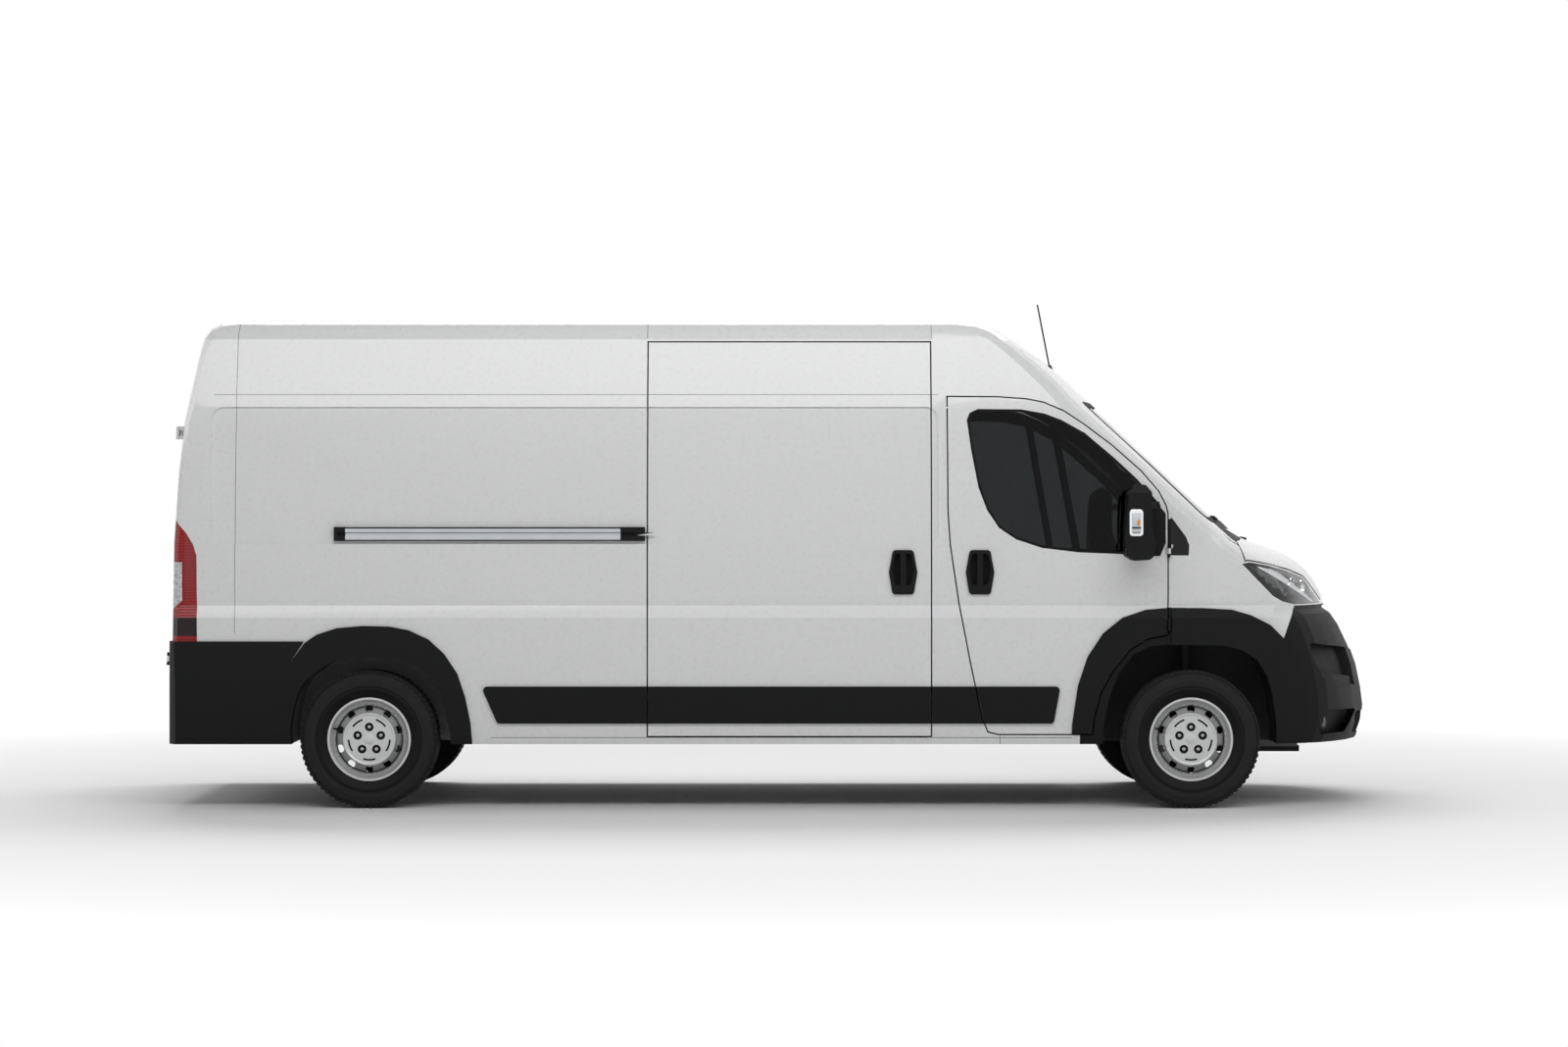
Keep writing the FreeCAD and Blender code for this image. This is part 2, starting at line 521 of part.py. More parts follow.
underframe = underframe.cut([
    rod(V(tow_x + a * TOW_PITCH_X / 2, -FAR, tow_z + b * TOW_PITCH_Z / 2),
        V(tow_x + a * TOW_PITCH_X / 2, FAR, tow_z + b * TOW_PITCH_Z / 2), TOW_HOLE_R)
    for a in (-1, 1) for b in (-1, 1)])
bulkhead = box(bulk_x, bulk_x + BULKHEAD_T, -FAR, FAR, CAB_FLOOR_Z, 2600).common(LINING)

# Wheels: pressed-steel rim with ten vents, five bolts and a centre cap, and a plain tyre.
RIM_R = 205.0
RIM_WIDTH = 168.0
VENT_R, VENT_CIRCLE, VENTS = 19.5, 149.0, 10
BOLT_R, BOLT_CIRCLE, BOLTS = 11.0, 59.0, 5
CAP_R = 42.0
SPINDLE_R = 34.0
TYRE_SIDE_R = 308.0
HUB_FACE = 50.0
BEAD_FIT = 0.3
SPINDLE_END = HUB_FACE - 3


def lathe(points, radius=0.0):
    """Turned about the Y axis from (radius, y) points."""
    return Part.Face(loop([V(r, y, 0) for r, y in points], radius)).revolve(V(0, 0, 0), V(0, 1, 0), 360)


def wheel():
    """Rim and tyre about the Y axis, outer face towards -Y."""
    h = RIM_WIDTH / 2
    seat_r, sheet = RIM_R - 18, 8
    rim = lathe([(RIM_R - 9, h), (RIM_R, h), (RIM_R, h - 10), (seat_r, h - 16), (seat_r, -h + 16),
                 (RIM_R, -h + 10), (RIM_R, -h), (RIM_R - 10, -h), (RIM_R - 31, -h + 30), (150, -h + 10),
                 (132, -h + 6), (118, -h + 24), (CAP_R + 8, -h + 26), (CAP_R, -h + 14), (0, -h + 12),
                 (0, -h + 22), (CAP_R - 6, -HUB_FACE), (108, -HUB_FACE), (136, -h + 15), (149, -h + 19),
                 (166, -45), (seat_r - sheet, -45), (seat_r - sheet, h - 18)])
    for i in range(VENTS):
        a = math.radians(90 + 360 / VENTS * i)
        at = V(VENT_CIRCLE * math.cos(a), 0, VENT_CIRCLE * math.sin(a))
        rim = rim.cut(rod(at + V(0, -h - 20, 0), at + V(0, -h + 60, 0), VENT_R))
    for i in range(BOLTS):
        a = math.radians(90 + 360 / BOLTS * i)
        at = V(BOLT_CIRCLE * math.cos(a), 0, BOLT_CIRCLE * math.sin(a))
        rim = rim.fuse(rod(at + V(0, -h + 14, 0), at + V(0, -h + 30, 0), BOLT_R))
    bore = SPINDLE_R + RUN_FIT
    hub = lathe([(bore, -HUB_FACE - 1), (72, -HUB_FACE - 1), (72, -34), (138, -34), (138, -18), (bore, -18)])
    rim = fused(rim, hub)
    t = TYRE_WIDTH / 2
    side = [(seat_r + BEAD_FIT, h - 34), (seat_r + BEAD_FIT, h - 20), (RIM_R + BEAD_FIT, h - 10.5),
            (RIM_R + 4, h + 2), (RIM_R + 35, t - 3), (RIM_R + 75, t), (TYRE_SIDE_R, t - 6),
            (TYRE_R - 7, t - 20), (TYRE_R, t - 36)]
    tyre = lathe([(r, -y) for r, y in side] + [(r, y) for r, y in reversed(side)])
    return rim, tyre


def placed(shape, x, y, left=False):
    shape = mirrored(shape) if left else shape.copy()
    shape.translate(V(x, y, TYRE_R))
    return shape


rim, tyre = wheel()

# Front suspension: cross member, two arms each side and a damper; the knuckle turns on its pins.
KINGPIN_Y = 860.0
PIN_R = 12.0
ARM_UP, ARM_DOWN = 105.0, 105.0
wheel_y = FRONT_TRACK / 2


def front_side():
    """Arms, pins and damper of the right-hand side."""
    x, z = FRONT_AXLE, TYRE_R
    lower = box(x - 30, x + 30, -KINGPIN_Y - 22, -380, z - ARM_DOWN - 24, z - ARM_DOWN)
    upper = box(x - 20, x + 20, -KINGPIN_Y - 22, -470, z + ARM_UP, z + ARM_UP + 20)
    low_pin = rod(V(x, -KINGPIN_Y, z - ARM_DOWN - 10), V(x, -KINGPIN_Y, z - ARM_DOWN + 30), PIN_R)
    high_pin = rod(V(x, -KINGPIN_Y, z + ARM_UP - 30), V(x, -KINGPIN_Y, z + ARM_UP + 10), PIN_R)
    damper = rod(V(x, -680, z - ARM_DOWN - 10), V(x, -680, HOUSE_TOP - 12), 26)
    return fused(lower, upper, low_pin, high_pin, damper)


def knuckle_right():
    x, z = FRONT_AXLE, TYRE_R
    post = box(x - 28, x + 28, -KINGPIN_Y - 26, -KINGPIN_Y + 26, z - ARM_DOWN + 2, z + ARM_UP - 2)
    spindle = rod(V(x, -KINGPIN_Y, z), V(x, -wheel_y - SPINDLE_END, z), SPINDLE_R)
    bores = [rod(V(x, -KINGPIN_Y, z + s * 60), V(x, -KINGPIN_Y, z + s * 130), PIN_R + RUN_FIT)
             for s in (-1, 1)]
    return fused(post, spindle).cut(bores)


subframe = box(FRONT_AXLE - 60, FRONT_AXLE + 60, -420, 420, 200, 270)
subframe = fused(subframe, *[box(FRONT_AXLE - 40, FRONT_AXLE + 40, y - 35, y + 35, 260, FRONT_RAIL_BOTTOM)
                             for y in (-RAIL_Y, RAIL_Y)],
                 front_side(), mirrored(front_side()))
engine = box(FRONT_AXLE + 170, FRONT_AXLE + 600, -380, 380, 270, 980)
subframe = fused(subframe, box(FRONT_AXLE + 50, FRONT_AXLE + 620, -300, -240, 240, 270),
                 box(FRONT_AXLE + 50, FRONT_AXLE + 620, 240, 300, 240, 270))

# Rear axle: beam, stub spindles and two leaf springs under the rails.
REAR_WHEEL_Y = REAR_TRACK / 2
SPRING = [(-650, RAIL_BOTTOM), (-650, RAIL_BOTTOM - 20), (0, 330), (650, RAIL_BOTTOM - 20),
          (650, RAIL_BOTTOM), (0, 352)]
beam = rod(V(REAR_AXLE, -800, 300), V(REAR_AXLE, 800, 300), 38)
flange = box(REAR_AXLE - 45, REAR_AXLE + 45, -800, -770, 255, 385)
stub = rod(V(REAR_AXLE, -790, TYRE_R), V(REAR_AXLE, -REAR_WHEEL_Y - SPINDLE_END, TYRE_R), SPINDLE_R)
leaf_spring = prism_y([(REAR_AXLE + x, z) for x, z in SPRING], -RAIL_Y - 32, -RAIL_Y + 32)
axle_side = [flange, stub, leaf_spring]
rear_axle = fused(beam, *axle_side, *[mirrored(piece) for piece in axle_side])

# Hinges. The post's pin runs in the leaf's eye; both have flat arms into their panels.
HINGE_PIN_R = 5.0


def slab(at, to, thick, axis, low, high):
    side = axis.cross(to - at)
    side = side / side.Length * (thick / 2)
    wire = loop([p + axis * low for p in (at + side, to + side, to - side, at - side)])
    return Part.Face(wire).extrude(axis * (high - low))


def hinge(at, axis, eye_r, post_to, leaf_to, half=32.0, gap=1.0):
    """Two pieces: pin with its end eyes and arms, and the leaf's bored eye with its arm."""
    mid = half * 0.45
    pin = rod(at - axis * half, at + axis * half, HINGE_PIN_R)
    post = [pin]
    for low, high in ((-half, -mid), (mid, half)):
        post.append(rod(at + axis * low, at + axis * high, eye_r))
        post.append(slab(at, post_to, eye_r, axis, low, high))
    eye = rod(at - axis * (mid - gap), at + axis * (mid - gap), eye_r)
    leaf = eye.fuse(slab(at, leaf_to, eye_r, axis, -mid + gap, mid - gap))
    leaf = leaf.cut(rod(at - axis * half, at + axis * half, HINGE_PIN_R + RUN_FIT))
    return post, leaf


HINGE_EYE_R = 11.0
rear_low = V(TAIL - HINGE_PROUD + HINGE_EYE_R, -875, 730)
rear_high = V(rear_low.x + 38, -825, 1845)
rear_axis = rear_high - rear_low
rear_axis = rear_axis / rear_axis.Length
rear_posts, rear_eyes = [], []
for at in (rear_low, rear_high):
    post, eye = hinge(at, rear_axis, HINGE_EYE_R, at + V(50, -24, 0), at + V(48, 45, 0))
    rear_posts += post
    rear_eyes.append(eye)
# The leaf's free edge stays within a cone about its leaning hinge line, clear of the other leaf.
swing_foot = rear_low - rear_axis * 250
swing_top = rear_low + rear_axis * 1700
edge_clear = LEAF_CLEAR - SHUT_GAP / 2
rear_swing = Part.makeCone(-swing_foot.y - edge_clear, -swing_top.y - edge_clear,
                           (swing_top - swing_foot).Length, swing_foot, rear_axis)
rear_door = fused(solid(rear_door.common(rear_swing)), *rear_eyes)

# The rear handle lies on its side on the right-hand leaf, at the level of the belt.
REAR_HANDLE_Y, REAR_HANDLE_Z, REAR_FACE_X = -145.0, 1254.0, TAIL + 25


def rear_handle_outline(half_y, half_z):
    corners = ((-1, -1), (1, -1), (1, 1), (-1, 1))
    return [(REAR_HANDLE_Y + a * half_y, REAR_HANDLE_Z + b * half_z) for a, b in corners]


rear_housing = prism_x(rear_handle_outline(87, 54), REAR_FACE_X - TRIM_PROUD, REAR_FACE_X + 8, 16)
rear_grip = box(*ALL_X, -300, 0, REAR_HANDLE_Z - GRIP_HALF, REAR_HANDLE_Z + GRIP_HALF)
rear_pocket = prism_x(rear_handle_outline(71, 38), REAR_FACE_X - 50, REAR_FACE_X + HANDLE_POCKET, 12)
rear_door_right = fused(rear_door, rear_housing).cut(rear_pocket.cut(rear_grip))
low_posts, high_posts = rear_posts[:5], rear_posts[5:]

for z in (905, 1262):
    at = V(HINGE_X, -DOOR_HINGE_Y, z)
    notch = rod(at - V(0, 0, 38), at + V(0, 0, 38), 14)
    post, eye = hinge(at, V(0, 0, 1), 8, at + V(24, 36, 0), at + V(-24, 36, 0))
    cab_door = fused(solid(cab_door).cut(notch), eye)
    if z < 1200:
        wing_right = fused(wing_right.cut(notch), *post)
    else:
        notches = [notch, mirrored(notch)]
        cab = fused(cab.cut(notches), *post, *[mirrored(p) for p in post])
        wing_right = wing_right.cut([notch] + post)
        corner_pane = corner_pane.cut([notch] + post)

# Bonnet hinge: a hooked arm on the bonnet and a pin across a pocket in the wing.
BONNET_AXIS = V(FRONT_AXLE + 175, 0, 1308)
LUG_Y, LUG_T = 835.0, 24.0


def at_bonnet_axis(points):
    return [(BONNET_AXIS.x + x, BONNET_AXIS.z + z) for x, z in points]


lug = prism_y(at_bonnet_axis([(-13, -13), (-13, 13), (13, 13), (13, -8), (24, -60), (110, -66), (110, -82),
                              (10, -84)]), -LUG_Y - LUG_T / 2, -LUG_Y + LUG_T / 2)
pocket = prism_y(at_bonnet_axis([(-30, -104), (-30, 48), (0, 36), (44, 0), (74, -8), (84, -40), (106, -52),
                                 (106, -104)]),
                 -LUG_Y - LUG_T / 2 - CLEAR, -LUG_Y + LUG_T / 2 + CLEAR)
bonnet_pin = rod(BONNET_AXIS + V(0, -LUG_Y - 40, 0), BONNET_AXIS + V(0, -LUG_Y + 40, 0), 6)
pin_bore = rod(BONNET_AXIS + V(0, -LUG_Y - 40, 0), BONNET_AXIS + V(0, -LUG_Y + 40, 0), 6 + RUN_FIT)
bonnet = fused(bonnet, lug, mirrored(lug)).cut([pin_bore, mirrored(pin_bore)])
wing_right = fused(wing_right.cut(pocket), bonnet_pin)
cab = cab.cut([pocket, mirrored(pocket)])
scuttle = scuttle.cut([pocket, mirrored(pocket)])
load_right = fused(load_right, *high_posts)
load_left = fused(load_left, *[mirrored(p) for p in high_posts])
hinge_notch = box(TAIL - 40, TAIL + 32, -905, -850, 690, 770)
rear_bumper = fused(rear_bumper.cut([hinge_notch, mirrored(hinge_notch)]), *low_posts,
                    *[mirrored(p) for p in low_posts])

# Sliding door's rail and its three carriers.
RAIL_LOW, RAIL_HIGH = 1311.0, 1380.0
SLOT_LOW, SLOT_HIGH = 1338.0, 1353.0
slide_rail = box(REAR_AXLE - 170, SLIDE_REAR_X - 8, -HALF_WIDTH, -HALF_WIDTH + 60, RAIL_LOW, RAIL_HIGH)
slot = box(REAR_AXLE - 150, SLIDE_REAR_X, -HALF_WIDTH - 10, -HALF_WIDTH + 14, SLOT_LOW, SLOT_HIGH)
slide_rail = slide_rail.cut(PRESSED).cut(slot)
middle_arm = box(SLIDE_REAR_X - 50, SLIDE_REAR_X + 40, -HALF_WIDTH + 2, -HALF_WIDTH + 12,
                 SLOT_LOW + RAIL_FIT, SLOT_HIGH - RAIL_FIT)
middle_foot = box(SLIDE_REAR_X + 8, SLIDE_REAR_X + 40, -HALF_WIDTH + 2, -HALF_WIDTH + 40,
                  SLOT_LOW + RAIL_FIT, SLOT_HIGH - RAIL_FIT)
ROLLER_R = 14.0
roller_x = SLIDE_FRONT_X - 90
TOP_RAIL_Y = -745.0
top_arm = box(roller_x - 30, roller_x + 30, -860, TOP_RAIL_Y + 12, 2232, 2244)
top_roller = rod(V(roller_x, TOP_RAIL_Y, 2236), V(roller_x, TOP_RAIL_Y, 2280), ROLLER_R)
top_rail = box(SLIDE_REAR_X + 40, SLIDE_FRONT_X - 15, TOP_RAIL_Y - 28, TOP_RAIL_Y + 28, 2256, 2400)
top_rail = top_rail.common(LINING).cut(box(SLIDE_REAR_X, SLIDE_FRONT_X, TOP_RAIL_Y - ROLLER_R - RAIL_FIT,
                                           TOP_RAIL_Y + ROLLER_R + RAIL_FIT, 2200, 2284))
low_arm = box(roller_x - 30, roller_x + 30, -(HALF_WIDTH - WALL + 4), -890, 410, 422)
low_roller = rod(V(roller_x, -905, 394 + RAIL_FIT), V(roller_x, -905, 456 - RAIL_FIT), ROLLER_R)
underframe = underframe.cut(box(SLIDE_REAR_X + 20, SLIDE_FRONT_X - 12, -FAR, -870, 394, 456))
sliding_door = fused(solid(sliding_door), middle_arm, middle_foot, top_arm, top_roller, low_arm, low_roller)
load_roof = fused(load_roof, solid(top_rail))

# Cab interior.
dash = prism_y(ahead([(112, 1235), (112, 760), (-40, 760), (-180, 1000), (-190, 1110), (-120, 1180),
                      (0, 1230)]), -915, 915, 18).common(LINING).cut([floor] + voids)
WHEEL_AT, WHEEL_TILT = V(FRONT_AXLE - 330, 420, 1080), V(-0.82, 0, 0.5724)
grip = [(185 + 14 * math.cos(math.radians(a)), 14 * math.sin(math.radians(a))) for a in range(0, 360, 45)]
steering = lathe(grip)
steering.rotate(V(0, 0, 0), WHEEL_TILT + V(0, 1, 0), 180)
steering.translate(WHEEL_AT)
hub_end = WHEEL_AT - WHEEL_TILT * 40
steering_parts = [rod(hub_end, WHEEL_AT + WHEEL_TILT * 8, 48), rod(WHEEL_AT - WHEEL_TILT * 190, hub_end, 26)]
for turn in (0, 120, 240):
    spoke = rod(WHEEL_AT - WHEEL_TILT * 14, WHEEL_AT - WHEEL_TILT * 14 + V(0, 185, 0), 11)
    spoke.rotate(WHEEL_AT, WHEEL_TILT, turn + 90)
    steering_parts.append(spoke)
steering = fused(steering, *steering_parts).cut(dash)


def seat(low, high):
    """Cushion, leaning back and headrests on a plinth, between two places across."""
    plinth = box(FRONT_AXLE - 1010, FRONT_AXLE - 620, low + 40, high - 40, CAB_FLOOR_Z, 660)
    shape = prism_y(ahead([(-1060, 650), (-560, 650), (-540, 700), (-560, 765), (-900, 745), (-960, 800),
                           (-1085, 1330), (-1175, 1330), (-1090, 760)]), low, high, 22)
    rests = []
    places = 1 if high - low < 600 else 2
    for i in range(places):
        y = low + (high - low) * (i + 0.5) / places
        rests.append(prism_y(ahead([(-1175, 1350), (-1105, 1350), (-1125, 1530), (-1185, 1530)]),
                             y - 130, y + 130, 20))
        rests += [rod(V(FRONT_AXLE - 1135, y + s * 60, 1300), V(FRONT_AXLE - 1145, y + s * 60, 1370), 7)
                  for s in (-1, 1)]
    return fused(plinth, shape, *rests)


driver_seat = seat(190, 690)
passenger_seat = seat(-860, -60)

# Aerial on the brow.
aerial_foot = V(FRONT_AXLE - 623, 0, 2165)
aerial = fused(Part.makeCone(20, 11, 48, aerial_foot, V(-0.15, 0, 1)),
               rod(aerial_foot + V(-4, 0, 30), V(FRONT_AXLE - 691, 0, 2525), 4)).cut(SKIN)

# Door mirror: one tall housing on two flat arms from a plate at the window's front corner.
HEAD_OUT, HEAD_IN, GLASS_BORDER = 1245.0, 1070.0, 16.0
head = prism_y(ahead([(-342, 1321), (-328, 1554), (-284, 1589), (-245, 1583), (-215, 1547), (-213, 1354),
                      (-195, 1303), (-205, 1240), (-225, 1221), (-302, 1216), (-340, 1240)]),
               -HEAD_OUT, -HEAD_IN, 10)
glass_seat = prism_y(ahead([(-400, 1262), (-333, 1262), (-333, 1321), (-321, 1530), (-400, 1530)]),
                     -HEAD_OUT + GLASS_BORDER, -HEAD_IN - GLASS_BORDER)
arms = [slab(V(FRONT_AXLE - 255, -HEAD_IN - 20, z), V(FRONT_AXLE - 140, -950, z), 24, V(0, 0, 1), -18, 18)
        for z in (1268, 1486)]
plate = TRIM.common(side_prism(MIRROR_PLATE))
mirror_right = fused(head.cut(glass_seat), *arms, *plate.Solids).cut(SKIN)

# Under the floor.
spare = fused(tyre.copy(), lathe([(0.1, -40), (RIM_R + 8, -40), (RIM_R + 8, 40), (0.1, 40)]))
spare.rotate(V(0, 0, 0), V(1, 0, 0), 90)
spare.translate(V(TAIL + 480, 0, LOAD_FLOOR_Z - FLOOR_T - TYRE_WIDTH / 2))
PIPE_Y, PIPE_Z = -280.0, 380.0
silencer = prism_x([(PIPE_Y - 80, 330), (PIPE_Y - 80, 430), (PIPE_Y + 80, 430), (PIPE_Y + 80, 330)],
                   60, 700, 30)
exhaust = fused(silencer, rod(V(690, PIPE_Y, PIPE_Z), V(FRONT_AXLE - 10, PIPE_Y, 300), 26),
                rod(V(70, PIPE_Y, PIPE_Z), V(-500, PIPE_Y, PIPE_Z), 24),
                rod(V(-500, PIPE_Y, PIPE_Z), V(-560, -700, 360), 24),
                *[rod(V(x, PIPE_Y, 400), V(x, PIPE_Y, floor_low), 8) for x in (160, 600)])
tank = prism_x([(40, 300), (40, 410), (400, 410), (400, 300)], FRONT_AXLE - 1080, FRONT_AXLE - 540, 20)

save("load_side_right", load_right)
save("load_side_left", load_left)
save("load_roof", load_roof)
save("cab_shell", cab)
save("bumper_front", fused(solid(bumper), *bars))
save("bumper_rear", rear_bumper)
save("windscreen", windscreen)
save("scuttle", scuttle)
save("bonnet", bonnet)
save("sliding_door", sliding_door)
save("slide_rail", slide_rail)
save("floor", floor)
save("underframe", underframe)
save("bulkhead", bulkhead)
save("dashboard", dash)
save("steering_wheel", steering)
save("driver_seat", driver_seat)
save("passenger_seat", passenger_seat)
save("aerial", aerial)
save("rear_door_right", rear_door_right)
save("rear_door_left", mirrored(solid(rear_door)))
save("front_subframe", subframe)
save("engine_block", engine)
save("rear_axle", rear_axle)
save("spare_wheel", spare)
save("exhaust", exhaust)
save("fuel_tank", tank)
for name, shape in (("wing", wing_right), ("headlamp", lamp_right), ("tail_lamp", tail_lamp_right),
                    ("corner_pane", corner_pane), ("front_door", cab_door),
                    ("front_glass", cab_glass), ("mirror", mirror_right), ("knuckle", knuckle_right()),
                    ("front_house", front_house), ("rear_house", rear_house)):
    save(name + "_right", shape)
    save(name + "_left", mirrored(solid(shape)))
for end, x, y in (("front", FRONT_AXLE, FRONT_TRACK / 2), ("rear", REAR_AXLE, REAR_TRACK / 2)):
    for side, left in (("right", False), ("left", True)):
        at = y if left else -y
        save("rim_" + end + "_" + side, placed(rim, x, at, left))
        save("tyre_" + end + "_" + side, placed(tyre, x, at, left))
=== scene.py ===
"""Looks of the panel van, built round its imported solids.

The panels keep the solids' shapes: each is a merged copy whose faces are sorted into paint, black
plastic and inner trim. Tyres, lamps, seats, wheel covers and small fittings are modelled here.
All lengths are in metres; +X is forward, +Y is to the van's left and the ground is z = 0.
"""
import json
import math

import bmesh
import bpy
from mathutils import Matrix, Vector
from mathutils.bvhtree import BVHTree


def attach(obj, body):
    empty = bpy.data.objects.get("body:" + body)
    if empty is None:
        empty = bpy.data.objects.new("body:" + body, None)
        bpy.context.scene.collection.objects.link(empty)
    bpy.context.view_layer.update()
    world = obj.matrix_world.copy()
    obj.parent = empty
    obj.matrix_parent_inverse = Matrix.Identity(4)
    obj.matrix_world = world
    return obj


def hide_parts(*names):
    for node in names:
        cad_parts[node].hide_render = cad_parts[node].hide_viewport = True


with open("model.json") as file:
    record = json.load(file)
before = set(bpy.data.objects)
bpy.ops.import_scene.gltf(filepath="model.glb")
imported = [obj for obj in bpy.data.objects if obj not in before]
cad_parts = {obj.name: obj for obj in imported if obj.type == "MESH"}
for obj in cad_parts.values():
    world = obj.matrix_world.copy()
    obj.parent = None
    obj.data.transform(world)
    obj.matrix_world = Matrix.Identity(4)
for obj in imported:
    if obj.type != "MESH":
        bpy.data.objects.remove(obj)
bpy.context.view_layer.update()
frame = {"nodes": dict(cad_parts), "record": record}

bl_info = {
    "name": "Panel van looks",
    "version": (1, 0, 0),
    "blender": (4, 5, 0),
    "location": "View3D > Sidebar > Van",
    "description": "Dresses the packed panel van with its finishes and fine pieces",
    "category": "Object",
}

# Places that the looks share with the solids.
FRONT_AXLE_X, REAR_AXLE_X, AXLE_Z = 2.037, -1.998, 0.338
FRONT_WHEEL_Y, REAR_WHEEL_Y = 0.905, 0.895
NOSE_X, TAIL_X, HALF_WIDTH = 3.007, -2.993, 1.01
CAB_HANDLE_X, SLIDE_HANDLE_X, HANDLE_Z = 1.0, 0.623, 1.158
HANDLE_HALF = (0.073, 0.112)
TAIL_HANDLE_X, TAIL_HANDLE_Y, TAIL_HANDLE_Z = -2.968, -0.145, 1.254
UPPER_HINGE_X, UPPER_HINGE_Z = -2.942, 1.845
LOWER_HINGE_X, LOWER_HINGE_Z = -2.98, 0.73
MIRROR_CAP_Z = 1.545
SLIDE_REAR_X = -0.631
RAIL_ENDS = (-2.112, -0.763)
SPARE_X, SPARE_RIM = -2.513, 0.2125
FLARE_TOP, SILL_END_X, BELT_Z, FLANK_Y = 0.985, 1.49, 1.0, 0.8
ARCH_REACH, CAB_ARCH_REACH = 0.62, 0.58
CAB_MIDDLE = Vector((1.4, 0, 1.3))
# The front door's edge, the gap ahead of it and the corner pane beyond.
DOOR_EDGE_X, DOOR_SHUT_X, SHUT_LINE_X, SHUT_END_X = 1.916, 1.927, 1.9325, 1.9412
SHUT_START_X = DOOR_SHUT_X - 0.01
PANE_START_X, PANE_FOOT_X = 1.9378, 1.9495
PANE_SEAL_AND_SHADE, PANE_LOW, PANE_STEP, PANE_HIGH = 1.228, 1.2412, 1.25, 1.42
# Width lost on each side by height, and by distance ahead of the tail.
SECTION = [(0.2, 0.035), (0.35, 0.012), (0.6, 0.003), (0.934, 0.0), (0.965, 0.009), (0.995, 0.018),
           (1.045, 0.01), (1.296, 0.01), (1.64, 0.024), (1.83, 0.045), (1.97, 0.065), (2.09, 0.09),
           (2.306, 0.138), (2.52, 0.222)]
TAPER = [(-0.2, 0.0), (4.4, 0.0), (4.9, 0.006), (5.15, 0.02), (5.35, 0.04), (5.5, 0.068),
         (5.64, 0.106), (5.76, 0.15), (5.86, 0.198), (6.0, 0.3), (6.1, 0.4)]
# Distance of the nose behind its foremost point, by height on the centre line.
NOSE = [(0.25, 0.09), (0.325, 0.035), (0.4, 0.008), (0.48, 0.0), (0.57, 0.012), (0.69, 0.038),
        (0.79, 0.075), (0.89, 0.12), (0.95, 0.16), (1.0, 0.205)]

SIDES = (("right", -1), ("left", 1))


def table_at(rows, at):
    for (a, b), (c, d) in zip(rows, rows[1:]):
        if at <= c:
            return b + (d - b) * (at - a) / (c - a)
    return rows[-1][1]


def depth_in(at):
    """Depth of a place under the painted side; it is negative where the place stands proud."""
    return HALF_WIDTH - table_at(SECTION, at.z) - table_at(TAPER, at.x - TAIL_X) - abs(at.y)


def nose_at(y, z):
    """Foremost x of the nose at a place across and a height."""
    return NOSE_X - table_at(NOSE, z) - 0.32 * (abs(y) / 0.89) ** 2.4


# Settings that a user would change.

def colour_setting(name, description, default):
    return bpy.props.FloatVectorProperty(
        name=name, description=description, subtype="COLOR", size=3, default=default)


def length_setting(name, description, default):
    return bpy.props.FloatProperty(name=name, description=description, default=default, unit="LENGTH")


class VanColours(bpy.types.PropertyGroup):
    paint: colour_setting("Paint", "Body colour", (0.79, 0.795, 0.8))
    plastic: colour_setting("Plastic", "Bumpers, arch trims and mouldings", (0.0075, 0.0078, 0.0085))
    steel: colour_setting("Wheel silver", "Pressed wheels", (0.62, 0.625, 0.63))
    tint: colour_setting("Glass tint", "Colour of light through the cab glass", (0.13, 0.14, 0.145))
    fabric: colour_setting("Seat fabric", "Seat covers", (0.1, 0.105, 0.11))


class VanSizes(bpy.types.PropertyGroup):
    tread_lugs: bpy.props.IntProperty(
        name="Tread lugs", description="Shoulder lugs round each tyre", default=72, min=24, max=120)
    tread_depth: length_setting("Tread depth", "Depth of the tread grooves", 0.008)
    seam_width: length_setting("Seam width", "Width of the drawn panel seams", 0.004)
    cover_radius: length_setting("Wheel cover radius", "Outer radius of the silver wheel cover", 0.118)
    seat_swell: length_setting("Seat swell", "Most that padding may swell", 0.02)


def colours():
    return bpy.context.scene.van_colours


def sizes():
    return bpy.context.scene.van_sizes


# Finishes.

FINISHES = {}


